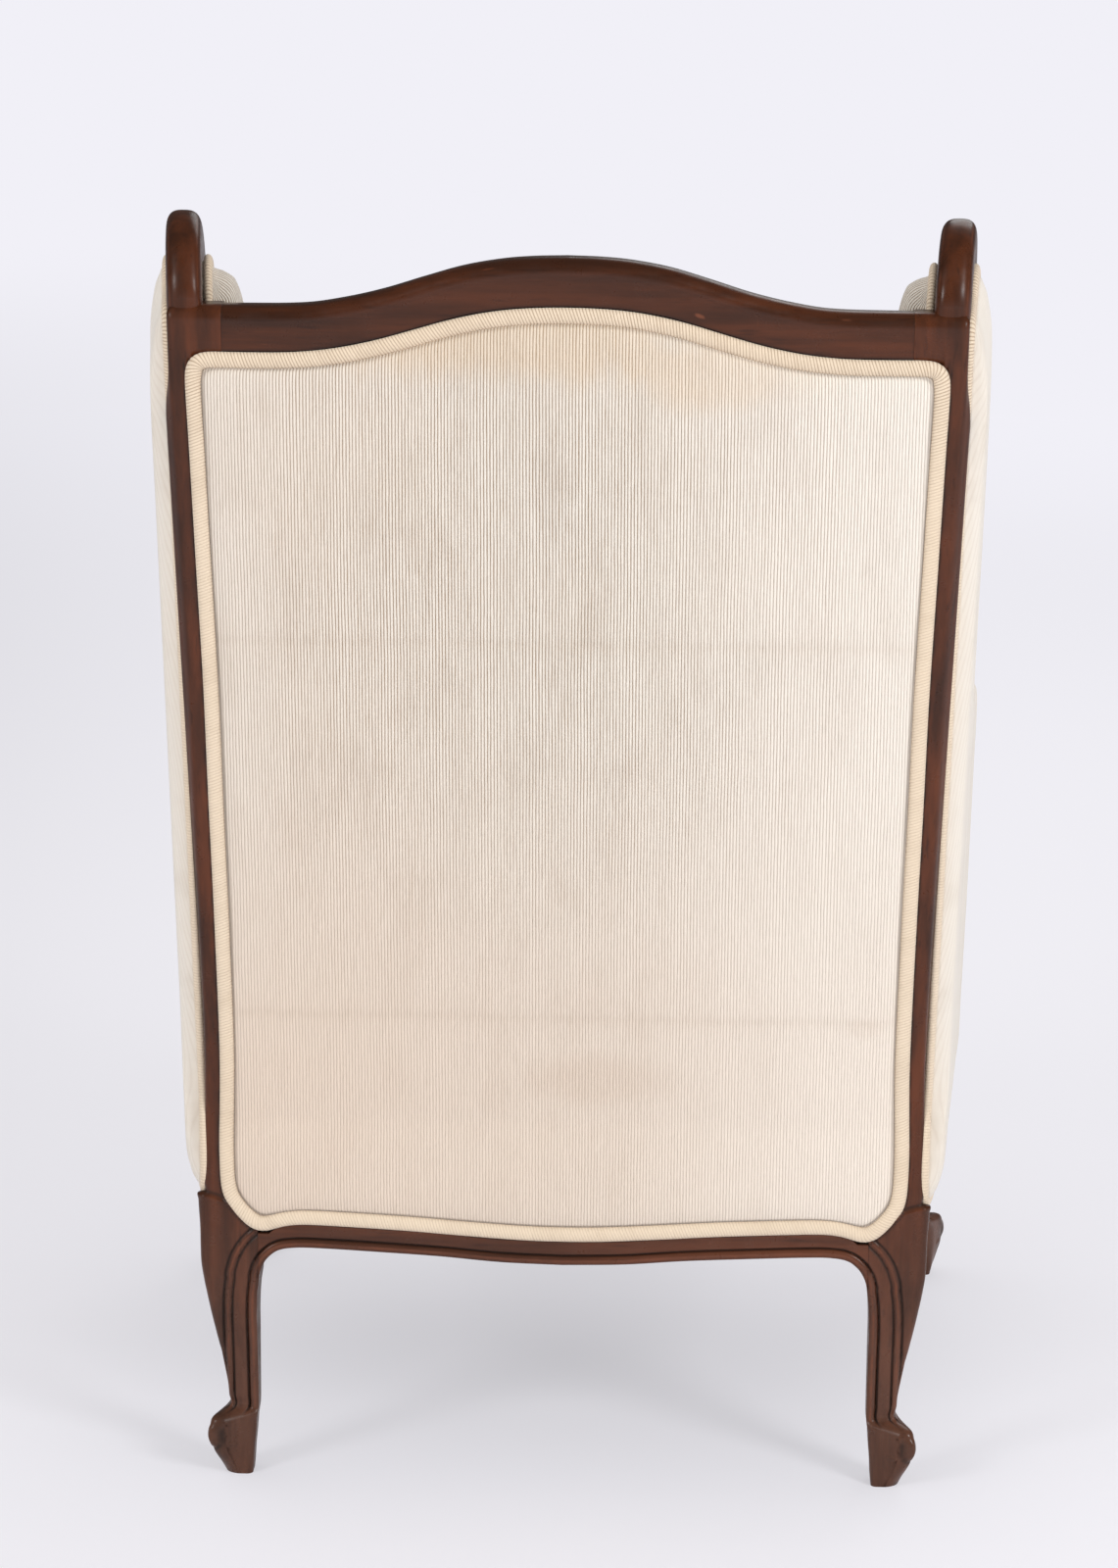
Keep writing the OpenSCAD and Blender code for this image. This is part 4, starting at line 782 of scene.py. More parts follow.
def corner_radii(plan, z, top):
    """Radius of each corner by height: round at the foot's knob, and nearly sharp where the rails meet the
    leg."""
    sx, _, sy = plan.T[:3]
    meet = np.maximum((1 - sx) * sy, sx * (1 - sy) * (1 - smooth(top, top + 6, z)[:, None]))
    up = smooth(P.leg_h - 1, P.leg_h + 5, z)[:, None]
    free = between(between(P.leg_w * 0.27, P.leg_w * 0.1, smooth(FOOT.low, FOOT.top, z)[:, None]), 4.5,
                   up * (top > P.leg_h + 1))
    free = between(P.leg_w * 0.1, free, sx * sy)
    return between(free, 0.4, meet * smooth(FOOT.low, FOOT.top, z)[:, None])


def knob_reach(across, deep, width):
    """How far the foot's knob pushes out each point: most at the block's rounded outer corner."""
    return 1.35 * np.maximum(0, (across + deep) / width[:, None] - 1)


def whorl(q, z):
    """Relief of the foot's scroll: a knob at the outer corner, a hollow round its lower side and a small
    boss. Also the painted shade in that hollow."""
    r, boss = (np.hypot(q - at[0], z - at[1]) for at in (FOOT.knob, FOOT.boss))
    low = smooth(48, 40, z)
    knob = 1.5 * np.sqrt(np.clip(1 - (r / FOOT.knob_r) ** 2, 0, 1))
    button = 0.9 * np.sqrt(np.clip(1 - (boss / FOOT.boss_r) ** 2, 0, 1))
    relief = knob + groove(r, FOOT.hollow_r, 2.0, 1.3) * low + button
    return relief, np.exp(-(((r - FOOT.hollow_r) / 1.5) ** 2)) * low * 0.8


def carved(q_back, q_side, z, nx, ny, back_line, side_line, top):
    """Relief along the normals on a leg's two show faces, with rubbing, and with grime and painted shade in
    its hollows. q is the distance in from the block's outer corner on each face."""
    relief, rubbed_and_highlit, grime_and_shade = (np.zeros(z.shape) for _ in range(3))
    for q, line, weight, face in ((q_back, back_line, np.clip(ny, 0, 1), ny > 0.6),
                                  (q_side, side_line, np.clip(nx, 0, 1), nx > 0.6)):
        use = np.broadcast_to(face, z.shape) & (z < top)
        at = np.stack([q[use], z[use]], -1)
        d = distance(at, line)
        fade = smooth(FOOT.rim, FOOT.top, z[use])
        scroll, dark = whorl(q[use], z[use])
        relief[use] += (moulding(d) * fade + scroll * (1 - fade)) * np.broadcast_to(weight, z.shape)[use]
        w, k = moulded_marks(d)
        rubbed_and_highlit[use] = np.maximum(rubbed_and_highlit[use], w * fade)
        # dark is the painted shade in the scroll's hollow.
        grime_and_shade[use] = np.maximum(grime_and_shade[use], k * fade + dark * (1 - fade))
    return relief, rubbed_and_highlit, grime_and_shade


def rear_post_rings():
    """Rear leg and post in one: rounded rectangles by height, carved to the knee, then rebated for the
    covers and rounded at the top."""
    knee_top, cap, cap_edge, cover_sink = P.leg_h + 11, 14, 7, 3.5
    z = np.concatenate([np.linspace(0, knee_top, 224), np.linspace(knee_top, P.shoulder_h - cap, 110)[1:],
                        P.shoulder_h - cap + cap * np.sin(np.linspace(0, np.pi / 2, 12))[1:]])
    outer, inner, toe = leg_rows(REAR_LEG_SHARES, P.leg_h, z)
    full = leg_rows(np.vstack([REAR_LEG_SHARES[:-2], [1, 0, 0, 0]]), P.leg_h, z)[0]
    up = smooth(P.leg_h - 1, P.leg_h + 5, z)
    inner = between(inner, -P.post_w, up)
    outer = between(outer, P.post_w * post_share(z), up)
    front = between(inner, -P.post_d, up)
    rounding = lambda reach: 1 - np.sqrt(1 - np.clip((z - P.shoulder_h + reach) / reach, 0, 1) ** 2)
    back = full * (1 - up) - 1.05 * P.thumb * rounding(P.thumb)
    side = outer - cap_edge * rounding(cap_edge)
    plan = ring_plan()
    sx, rx, sy, ry = plan.T[:4]
    nx, ny = lifted(plan)
    r = corner_radii(plan, z, P.rail_top)
    x = between(inner[:, None], side[:, None], sx) + r * rx
    y = between(front[:, None], back[:, None], sy) + r * ry
    zz = np.broadcast_to(z[:, None], x.shape)
    cover = side_x(-y, zz) - P.half_back - cover_sink
    covered = smooth(P.leg_h + 40, P.leg_h + 90, zz) * smooth(P.shoulder_h - 40, P.shoulder_h - 90, zz)
    x = x + np.maximum(0, cover - x) * (sx > 0.5) * smooth(1, 10, -y) * covered
    q = np.where(ny > 0.6, -x, -y)
    knee = P.leg_h - 3 - 16 * (np.clip(q, 0, 60) / 38) ** 2
    knee = np.where((ny > 0.5) | (nx > 0.5), knee, P.leg_h - 3)
    step = smooth(-1.4, 1.4, zz - knee)
    x = x + (full - outer)[:, None] * sx * smooth(-17, -11, y) * (1 - step) * (zz < P.leg_h + 6)
    half = P.half_back - P.leg_w
    side_half = (P.seat_depth - 2 * P.leg_w) / 2
    relief, rubbed_and_highlit, grime_and_shade = carved(-x, -y, zz, nx, ny, contour(REAR_LEG_SHARES, P.leg_h, half, 0),
                                contour(REAR_LEG_SHARES, P.leg_h, side_half, P.bead_d), P.leg_h + 6)
    show = np.clip(np.maximum(nx, ny), 0, 1) * smooth(47, 30, q)
    lip = 1.1 * smooth(-34, -5, zz - knee) + 0.9 * np.exp(-(((zz - knee + 2.6) / 2.4) ** 2))
    relief = np.where(zz > knee, 0, relief) + (1 - step) * lip * show
    # Painted highlight along the knee's lip, laid into the rubbing mark.
    rubbed_and_highlit = np.maximum(rubbed_and_highlit * (zz < knee), np.exp(-(((zz - knee + 2.0) / 1.6) ** 2)) * 0.55 * show)
    # Painted shadow line just above the knee's step.
    grime_and_shade = np.maximum(grime_and_shade * (zz < knee), np.exp(-(((zz - knee - 1.4) / 1.2) ** 2)) * 0.8)
    loop = curved(back_loop(), 900)
    where = np.stack([P.half_back + x, zz], -1)
    near = (ny > 0.6) & (zz > P.rail_bottom)
    recess = np.zeros(x.shape)
    within = inside(where[near], loop)
    gap = distance(where[near], loop)
    recess[near] = np.where(within, smooth(2.0, 3.6, gap), 0) * P.rebate
    # Painted shade along the crevice where the outside back meets the post.
    grime_and_shade[near] = np.maximum(grime_and_shade[near], np.exp(-((gap / 1.2) ** 2)))
    edge = np.clip((np.abs(nx) * np.abs(ny) * 4) ** 0.5, 0, 1) * (nx > 0)
    rubbed_and_highlit = np.maximum(rubbed_and_highlit, edge * (zz > P.leg_h) * 0.3)
    push = knob_reach(x - inner[:, None], y - front[:, None], outer - inner) * toe[:, None]
    rings = place(P.half_back + x + nx * relief + push,
                  P.back_y + y + ny * relief - recess * np.clip(ny, 0, 1) + push + lean(zz), zz)
    return rings, {"rubbed_and_highlit": rubbed_and_highlit, "grime_and_shade": grime_and_shade}


def front_leg_rings():
    """Front leg: the same carving, with its show faces to the front and the side."""
    z = np.linspace(0, P.rail_top, 232)
    outer, inner, toe = leg_rows(FRONT_LEG_SHARES, P.rail_top, z)
    plan = ring_plan()
    sx, rx, sy, ry = plan.T[:4]
    nx, ny = lifted(plan)
    r = corner_radii(plan, z, P.rail_top)
    x = between(inner[:, None], outer[:, None], sx) + r * rx
    y = between(inner[:, None], outer[:, None], sy) + r * ry
    zz = np.broadcast_to(z[:, None], x.shape)
    half, side_half = front_leg_x() - P.leg_w, (P.seat_depth - 2 * P.leg_w) / 2
    relief, rubbed_and_highlit, grime_and_shade = carved(-x, -y, zz, nx, ny, contour(FRONT_LEG_SHARES, P.rail_top, half, 0),
                                contour(FRONT_LEG_SHARES, P.rail_top, side_half, P.bead_d), P.rail_top + 1)
    push = knob_reach(x - inner[:, None], y - inner[:, None], outer - inner) * toe[:, None]
    edge = smooth(-6, 0, zz - P.rail_top) * 0.6
    rings = place(front_leg_x() + x + nx * relief + push,
                  P.back_y - P.seat_depth - (y + ny * relief + push), zz)
    return rings, {"rubbed_and_highlit": np.maximum(rubbed_and_highlit, edge), "grime_and_shade": grime_and_shade}


def rail_rings(x, half, table, height, lift, top, cut, put):
    """A seat rail between two legs: section from the inner face, under the moulded edge and up the show
    face to a step that takes the covers. put places across, out and up."""
    x = x[:, None]
    low = wave(x, half) + lift
    band = top(x)
    span = band - low
    upper = between(10, np.minimum(span, 38), np.linspace(0, 1, 44)[1:])
    v = np.concatenate([np.linspace(0, 10, 22) + 0 * x, upper], 1)
    v[:, -1:] = span
    at = np.stack(np.broadcast_arrays(P.leg_w + half - np.abs(x), low + v), -1)
    d = distance(at, contour(table, height, half, lift))
    out = moulding(d, 0 if cut == P.rebate else 1)
    rubbed_and_highlit, grime_and_shade = moulded_marks(d, 0 if cut == P.rebate else 1)
    under = np.linspace(-P.rail_t, -1.2, 6)[None]
    shape = np.broadcast_shapes(x.shape, (len(x), 1))
    one = np.ones(shape)
    outs = np.concatenate([under * one, out, one * -cut, one * -cut, one * -P.rail_t], 1)
    ups = np.concatenate([low + 0 * under, low + v, band + 0.4, one * P.rail_top, one * P.rail_top], 1)
    zero = 0 * one
    # The step that takes the covers is fully darkened: painted shade in the crevice.
    marks = {"rubbed_and_highlit": np.concatenate([np.zeros((len(x), 6)), rubbed_and_highlit, zero, zero, zero], 1),
             "grime_and_shade": np.concatenate([np.zeros((len(x), 6)), grime_and_shade, one, zero, zero], 1)}
    return put(np.broadcast_to(x, outs.shape), outs, ups), marks


# Worn spots of the crest: place across, height from its top edge, radii and strength
CREST_SPOTS = ((-102, -29, 5, 2.2, 1.0), (-146, -20, 0.9, 8, 0.8), (-150, -16, 0.8, 6, 0.6),
               (61, -5, 9, 1.2, 0.7), (128, -8, 7, 1.5, 0.6), (-214, -6, 8, 1.5, 0.7),
               (18, -33, 12, 1.0, 0.5), (233, -30, 6, 1.0, 0.6))


def crest_rings():
    """Crest rail: its back face, thumb mould and front face by place across, on the leaning back."""
    x = np.linspace(-P.crest_half, P.crest_half, 241)[:, None]
    lo, hi, t, d = crest_low(x), crest_high(x), P.thumb, P.post_d
    w = np.linspace(0, np.pi / 2, 14)[None]
    low = lo - P.crest_face / 2
    face = np.linspace(0, 1, 26)[None]
    back_z = between(lo + 0.4, hi - t, face)
    proud = 0.9 * smooth(P.crest_half, P.crest_half - 40, np.abs(x))
    outs = [0 * x - d, 0 * x - P.rebate, 0 * x - P.rebate, proud * smooth(0.82, 0.98, face),
            -1.1 * t * (1 - np.cos(w)) + proud * np.cos(w),
            np.linspace(-1.1 * t - 1, t - d, 8)[None] + 0 * x, -d + t * (1 - np.sin(w)) + 0 * x]
    ups = [low, low, lo, back_z, hi - t + t * np.sin(w), hi + 0 * np.linspace(0, 1, 8)[None],
           hi - 0.7 * t * (1 - np.cos(w))]
    outs, ups = np.concatenate(outs, 1), np.concatenate(ups, 1)
    # Darker at the ends, the joints with the posts, and along the bottom edge, where painted shade fills the
    # crevice by the welt.
    ends = np.exp(-(((np.abs(x) - P.crest_half) / 0.7) ** 2)) * 0.3
    grime_and_shade = np.maximum(np.exp(-(((ups - lo) / 1.6) ** 2)) * (outs > -P.rebate - 1) * 0.9, ends)
    rubbed_and_highlit = sum(np.exp(-(((x - at) / wide) ** 2) - (((ups - hi - up) / tall) ** 2)) * much
               for at, up, wide, tall, much in CREST_SPOTS) * (outs > -2 * t)
    return on_back(x, ups, outs), {"rubbed_and_highlit": rubbed_and_highlit, "grime_and_shade": grime_and_shade}


# Materials

class Sum:
    """An output of a node. Sums, differences, products, quotients and powers of it add Math nodes."""

    def __init__(self, paint, out):
        self.paint, self.out = paint, out

    def math(self, operation, *others):
        """A Math node with this output and others as its values."""
        return self.paint.node("ShaderNodeMath", {"operation": operation}, dict(enumerate((self, *others))))

    def __add__(self, other):
        return self.math("ADD", other)

    def __mul__(self, other):
        return self.math("MULTIPLY", other)

    def __sub__(self, other):
        return self.math("SUBTRACT", other)

    def __rsub__(self, other):
        return (self * -1.0) + other

    def __truediv__(self, other):
        return self.math("DIVIDE", other)

    def __pow__(self, other):
        return self.math("POWER", other)

    __radd__, __rmul__ = __add__, __mul__


class Paint:
    """Shader nodes of a material or of the world: node() adds any node, and surface() joins a shader to the
    output."""

    def __init__(self, owner):
        owner.use_nodes = True
        self.owner, self.tree = owner, owner.node_tree
        self.tree.nodes.clear()

    def node(self, kind, settings=None, inputs=None, out=0):
        """Adds a node, with its settings first and then its sockets' values or links, and gives one
        output."""
        n = self.tree.nodes.new(kind)
        for key, value in (settings or {}).items():
            setattr(n, key, value)
        for key, value in (inputs or {}).items():
            if isinstance(value, Sum):
                self.tree.links.new(value.out, n.inputs[key])
            else:
                n.inputs[key].default_value = value
        return Sum(self, n.outputs[out]) if n.outputs else None

    def coordinates(self, which="UV", scale=(1, 1, 1)):
        """UV or Object coordinates, scaled."""
        source = self.node("ShaderNodeTexCoord", out=which)
        return self.node("ShaderNodeMapping", inputs={"Vector": source, "Scale": scale})

    def parts(self, vector):
        """The vector's three numbers."""
        n = self.node("ShaderNodeSeparateXYZ", inputs={"Vector": vector}).out.node
        return [Sum(self, s) for s in n.outputs]

    def height(self):
        """Height of the point over the floor, in metres."""
        return self.parts(self.coordinates("Object"))[2]

    def noise(self, vector, scale, detail=3.0, roughness=0.5):
        """Fractal noise from 0 to 1 at a vector."""
        return self.node("ShaderNodeTexNoise", inputs={"Vector": vector, "Scale": scale, "Detail": detail,
                                                       "Roughness": roughness})

    def span(self, value, low, high, to_low=0.0, to_high=1.0):
        """A smooth step from to_low to to_high while value goes from low to high."""
        return self.node("ShaderNodeMapRange", {"interpolation_type": "SMOOTHSTEP"},
                         {"Value": value, 1: low, 2: high, 3: to_low, 4: to_high})

    def mix(self, factor, a, b):
        """The colour a, turning to b as the factor grows."""
        pair = [v if isinstance(v, Sum) else (*v, 1) for v in (a, b)]
        return self.node("ShaderNodeMix", {"data_type": "RGBA"}, {0: factor, 6: pair[0], 7: pair[1]}, out=2)

    def attribute(self, name):
        """A value stored on the mesh's points."""
        return self.node("ShaderNodeAttribute", {"attribute_name": name}, out=2)

    def bump(self, height, strength, reach):
        """A normal tilted by the slope of a height, reach metres high."""
        return self.node("ShaderNodeBump", inputs={"Height": height, "Strength": strength, "Distance": reach})

    def surface(self, kind, shader):
        """Joins a shader to an output of the given kind, and gives the material or world."""
        self.node(kind, inputs={"Surface": shader})
        return self.owner

    def finish(self, **sockets):
        """A principled shader with the given sockets as the material's surface."""
        shader = self.node("ShaderNodeBsdfPrincipled",
                           inputs={k.replace("_", " "): v for k, v in sockets.items()})
        return self.surface("ShaderNodeOutputMaterial", shader)


def linear(colour):
    """A colour of 0 to 255 as it is seen, turned into the shader's linear values."""
    c = np.asarray(colour, float) / 255
    return tuple(float(v) for v in np.where(c <= 0.04045, c / 12.92, ((c + 0.055) / 1.055) ** 2.4))


WOOD_SCALE = {"x": (3.0, 40.0, 40.0), "y": (40.0, 3.0, 40.0), "z": (40.0, 40.0, 3.0)}


def walnut(name, grain, light, dark):
    """Stained walnut: streaks stretched along the grain, pores, rubbed edges with a painted highlight on the
    knee's lip, and grime with painted shade in the carving and its crevices. It is dusty near the floor and
    darkened at the top by painted shade."""
    p = Paint(bpy.data.materials.new(name))
    scale = WOOD_SCALE[grain]
    streak = p.noise(p.coordinates("Object", scale), 1.6, 5.0, 0.6)
    broad = p.noise(p.coordinates("Object", tuple(s / 5 for s in scale)), 1.0, 3.0)
    pores = p.noise(p.coordinates("Object", tuple(s * (6 if s > 10 else 8) for s in scale)), 1.0, 2.0)
    scuffs = p.noise(p.coordinates("Object", (60, 60, 60)), 1.0, 4.0, 0.7)
    rubbed_and_highlit, grime_and_shade = p.attribute("rubbed_and_highlit"), p.attribute("grime_and_shade")
    tone = p.span(streak * 0.65 + broad * 0.35, 0.34, 0.68)
    colour = p.mix(tone, dark, light)
    colour = p.mix(p.span(pores, 0.60, 0.74) * 0.45, colour, tuple(c * 0.4 for c in dark))
    dusty = p.span(p.height() + scuffs * 0.1, 0.36, 0.12)
    colour = p.mix(dusty * 0.6, colour, p.mix(tone, linear((70, 48, 38)), linear((98, 70, 57))))
    # Painted shade: darker towards the dark grain colour at the top of the crest, above 0.96 m.
    colour = p.mix(p.span(p.height(), 0.96, 1.02) * 0.4, colour, dark)
    # Lighter where rubbed, and along the knee's lip, where the lighter band is a painted highlight.
    rubbed_highlit_mask = p.span(rubbed_and_highlit * (0.35 + scuffs), 0.30, 0.75)
    colour = p.mix(rubbed_highlit_mask * 0.55, colour, tuple(min(1, c * 1.9 + 0.012) for c in light))
    # Near black in the carving's grooves and crevices: grime and painted shade.
    colour = p.mix(grime_and_shade * 0.85, colour, (0.010, 0.006, 0.004))
    normal = p.bump(streak * 0.5 - pores * 0.3 + scuffs * 0.15, 0.25, 0.0006)
    return p.finish(Base_Color=colour, Roughness=p.span(scuffs, 0.3, 0.75, 0.26, 0.42) + grime_and_shade * 0.3,
                    Normal=normal, Specular_IOR_Level=0.28, Coat_Weight=0.03, Coat_Roughness=0.2)


# The outside back, in metres across and up its UV map. Stains: centre, radii, raggedness and strength
YELLOW_STAINS = ((0.04, 0.978, 0.20, 0.045, 0.9, 1.0), (-0.12, 0.950, 0.10, 0.035, 0.9, 1.0))
BROWN_STAINS = ((-0.03, 0.362, 0.08, 0.03, 1.1, 0.5), (-0.245, 0.410, 0.02, 0.012, 0.5, 0.6))
# Fold lines: height and strength, the strength being that of the painted shade in the crease
FOLDS = ((0.733, 0.09), (0.415, 0.10))


def aged(p, colour, height, u, v, crush, patch):
    """The outside back's age and painted light: stains with ragged rims, a warmer lower part and +X side with
    painted shade on that side, a painted pool of light on the -X side, fold lines as 1 / (1 + d^2) of the
    distance to them darkened by painted shade, and painted shade in the stitched line along the rim. Gives
    colour and height."""
    def blots(table):
        """Two blots: 1 inside an ellipse and 0 outside, its rim shifted by the noise."""
        parts = []
        for cu, cv, ru, rv, rag, much in table:
            near = (((u - cu) / ru) ** 2.0 + ((v - cv) / rv) ** 2.0).math("SQRT")
            parts.append(p.span(near + (crush - 0.5) * rag, 1.0, 0.35) * much)
        return parts[0] + parts[1]

    colour = p.mix(blots(YELLOW_STAINS).math("MINIMUM", 1.0) * 0.30, colour, linear((218, 182, 134)))
    colour = p.mix(blots(BROWN_STAINS) * 0.45, colour, linear((168, 134, 104)))
    # Warmer and darker towards the bottom and towards the +X side; the +X side's darkening is painted shade.
    warm_and_shaded = p.span(v + patch * 0.25, 0.86, 0.44) * 0.55 + p.span(u + patch * 0.1, 0.02, 0.30) * 0.22
    colour = p.mix(warm_and_shaded, colour, linear((229, 208, 188)))
    # Painted pool of light: paler towards the -X side.
    colour = p.mix(p.span(u - patch * 0.08, -0.04, -0.27) * 0.45, colour, linear((252, 243, 231)))
    # Each fold line darkens by painted shade in its crease, and the height dips there.
    for height_at, amount in FOLDS:
        sway = (p.noise(p.coordinates("UV", (4, 0, 0)), 1.0, 1.0) - 0.5) * 0.012
        fold = (((v + sway - height_at) / 0.0045) ** 2.0 + 1.0) ** -1.0
        colour = p.mix(fold * amount, colour, linear((180, 156, 132)))
        height = height - fold * 0.35
    # Painted shade in the stitched line along the rim.
    return p.mix(p.attribute("seam") * 0.8, colour, linear((92, 74, 58))), height


def velvet(name, crown, valley, pitch, stained=False, depth=1.0, contrast=1.0, crisp_above=None):
    """Corded velvet: rounded ribs every pitch along u, slightly wavy, darkened in the valleys by painted
    shade, with nap patches. crisp_above is a height below which the ribs fade. The outside back is stained,
    given painted light and shade, and rubbed smoother as well."""
    p = Paint(bpy.data.materials.new(name))
    u, v, _ = p.parts(p.coordinates("UV"))
    drift = (p.noise(p.coordinates("UV", (6, 6, 6)), 1.0, 2.0) - 0.5) * 0.0022
    jitter = (p.noise(p.coordinates("UV", (500, 40, 1)), 1.0, 2.0) - 0.5) * 0.0009
    pile = p.noise(p.coordinates("UV", (1500, 900, 1)), 1.0, 3.0)
    crush = p.noise(p.coordinates("UV", (26, 9, 1)), 1.0, 4.0, 0.62)
    patch = p.noise(p.coordinates("UV", (5, 5, 1)), 1.0, 3.0)
    phase = (u + drift + jitter) / pitch
    s = (phase.math("FRACT") - 0.5).math("ABSOLUTE") * 2.0
    # Painted shade between the ribs: shade turns the crown colour to the valley colour.
    shade = p.span(s + (pile - 0.5) * 0.4, 0.42, 1.0) * contrast
    if crisp_above:
        shade = shade * p.span(p.height(), crisp_above - 0.12, crisp_above, 0.35, 1.0)
    if stained:
        rim = p.span(u.math("ABSOLUTE"), 0.19, 0.275)
        shade = shade * p.span(v, 0.30, 0.72, 0.42, 1.0) * (1.0 - rim * 0.45)
    colour = p.mix(shade, crown, valley)
    colour = p.mix(p.span(crush, 0.45, 0.75) * 0.18, colour, tuple(c * 0.8 for c in valley))
    tired = tuple(c * f for c, f in zip(crown, (0.95, 0.90, 0.84)))
    colour = p.mix(p.span(patch, 0.35, 0.7) * 0.22, colour, tired)
    height = (1.0 - s * s).math("POWER", 0.6) + (pile - 0.5) * 0.30 + (crush - 0.5) * 0.5
    if stained:
        colour, height = aged(p, colour, height, u, v, crush, patch)
    return p.finish(Base_Color=colour, Roughness=p.span(pile, 0.3, 0.7, 0.78, 0.95),
                    Normal=p.bump(height, 0.75 * depth, 0.0011), Sheen_Weight=0.35, Sheen_Roughness=0.45,
                    Specular_IOR_Level=0.2)


def woven(name, light, dark, pitch, depth=1.0):
    """Plain weave on UV: over and under by the product of two sines, with slubs in the yarn."""
    p = Paint(bpy.data.materials.new(name))
    u, v, _ = p.parts(p.coordinates("UV"))
    cells = (u * (math.pi / pitch)).math("SINE") * (v * (math.pi / pitch)).math("SINE")
    height = cells.math("ABSOLUTE") + p.noise(p.coordinates("UV", (300, 300, 1)), 1.0, 3.0) * 0.4
    colour = p.mix(p.span(height, 0.1, 1.1), dark, light)
    colour = p.mix(p.span(p.noise(p.coordinates("UV", (14, 14, 1)), 1.0, 3.0), 0.4, 0.7) * 0.3, colour, dark)
    return p.finish(Base_Color=colour, Roughness=0.9, Normal=p.bump(height, 0.6 * depth, pitch * 0.3))


def bare_beech(name):
    """Sawn beech inside the frame: pale, with flecks along the grain and saw marks."""
    p = Paint(bpy.data.materials.new(name))
    grain = p.noise(p.coordinates("Object", (6, 60, 60)), 1.0, 5.0, 0.6)
    fleck = p.noise(p.coordinates("Object", (90, 500, 500)), 1.0, 2.0)
    colour = p.mix(p.span(grain, 0.3, 0.7), linear((196, 160, 118)), linear((168, 126, 84)))
    colour = p.mix(p.span(fleck, 0.6, 0.75) * 0.5, colour, linear((122, 84, 54)))
    return p.finish(Base_Color=colour, Roughness=0.72, Normal=p.bump(grain * 0.6 + fleck * 0.3, 0.4, 0.0008))


def screw_metal(name):
    """Plain steel with fine turning marks and a little tarnish."""
    p = Paint(bpy.data.materials.new(name))
    marks = p.noise(p.coordinates("Object", (900, 900, 900)), 1.0, 2.0)
    tarnish = p.noise(p.coordinates("Object", (120, 120, 120)), 1.0, 4.0)
    colour = p.mix(p.span(tarnish, 0.4, 0.7), linear((186, 186, 190)), linear((128, 120, 112)))
    return p.finish(Base_Color=colour, Metallic=1.0, Roughness=p.span(marks, 0.3, 0.7, 0.28, 0.45),
                    Normal=p.bump(marks, 0.15, 0.0003))


def paper_floor(name, near, far, glow):
    """Pale seamless floor: two flat tones by distance from the chair, painted shade towards the +X side, and
    the object's soft shadow. The camera sees a share of its own colour, as on the bright sweep of a studio."""
    p = Paint(bpy.data.materials.new(name))
    x, y, _ = p.parts(p.coordinates("Object"))
    away = (x * x + y * y).math("SQRT")
    colour = p.mix(p.span(away, 1.0, 7.0), near, far)
    # Painted shade: the floor darker towards the +X side, fading out far away.
    side_shade = p.span(x, 0.2, 2.2) * p.span(away, 12.0, 2.5)
    colour = p.mix(side_shade * 0.75, colour, tuple(c * 0.72 for c in near))
    paper = p.node("ShaderNodeBsdfPrincipled", inputs={"Base Color": colour, "Roughness": 0.95,
                                                       "Specular IOR Level": 0.0})
    shine = p.node("ShaderNodeEmission", inputs={"Color": colour})
    share = p.node("ShaderNodeLightPath") * p.span(away, 1.2, 7.0, glow, 1.0)
    both = p.node("ShaderNodeMixShader", inputs={0: share, 1: paper, 2: shine})
    return p.surface("ShaderNodeOutputMaterial", both)


# Settings that a user would change

def colour_prop(name, description, colour):
    """A colour setting, with its default given as it is seen."""
    return FloatVectorProperty(name=name, description=description, subtype="COLOR", size=3, min=0, max=1,
                               default=linear(colour))


class ArmchairCloth(bpy.types.PropertyGroup):
    """Sizes and colours of the upholstery."""
    rib_pitch: FloatProperty(name="Rib pitch", description="Distance from one velvet rib to the next",
                             default=RIB_PITCH * MM, unit="LENGTH", min=0.001, max=0.01)
    seat_rise: FloatProperty(name="Cushion rise", description="Most that the cushion's cover may swell",
                             default=0.012, unit="LENGTH", min=0.0, max=0.03)
    pad_rise: FloatProperty(name="Pad rise", description="Most that a pad's cover may swell",
                            default=0.006, unit="LENGTH", min=0.0, max=0.02)
    crown: colour_prop("Rib colour", "Colour of the velvet on the ribs", (234, 227, 216))
    # The valley colour is the painted shade that falls between the ribs.
    valley: colour_prop("Valley colour", "Colour of the velvet between the ribs", (166, 138, 110))
    welt: colour_prop("Welt colour", "Colour of the welts' ribs", (232, 214, 190))


class ArmchairWood(bpy.types.PropertyGroup):
    """Colours of the show wood."""
    light: colour_prop("Light grain", "Lighter streaks of the stained walnut", (96, 49, 26))
    dark: colour_prop("Dark grain", "Darker streaks of the stained walnut", (54, 28, 15))


class ArmchairStage(bpy.types.PropertyGroup):
    """Floor, backdrop and lamps."""
    floor: colour_prop("Floor", "Floor close to the chair", (244, 243, 249))
    backdrop: colour_prop("Backdrop", "Floor far away and the backdrop", (241, 240, 247))
    glow: FloatProperty(name="Sweep brightness", description="Share of the floor that lights itself",
                        default=0.5, min=0.0, max=1.0)
    sky: FloatProperty(name="Ambient light", description="Strength of the light from all sides", default=0.62,
                       min=0.0, max=2.0)
    gloss: FloatProperty(name="Reflected air", description="Share of the ambient light that varnish reflects",
                         default=0.15, min=0.0, max=1.0)
    key: FloatProperty(name="Key lamp", description="Power of the large lamp behind the camera",
                       default=100.0, unit="POWER", min=0.0, max=200.0)
    fill: FloatProperty(name="Fill lamp", description="Power of the lamp on the other side", default=62.0,
                        unit="POWER", min=0.0, max=200.0)


MATERIALS = {}


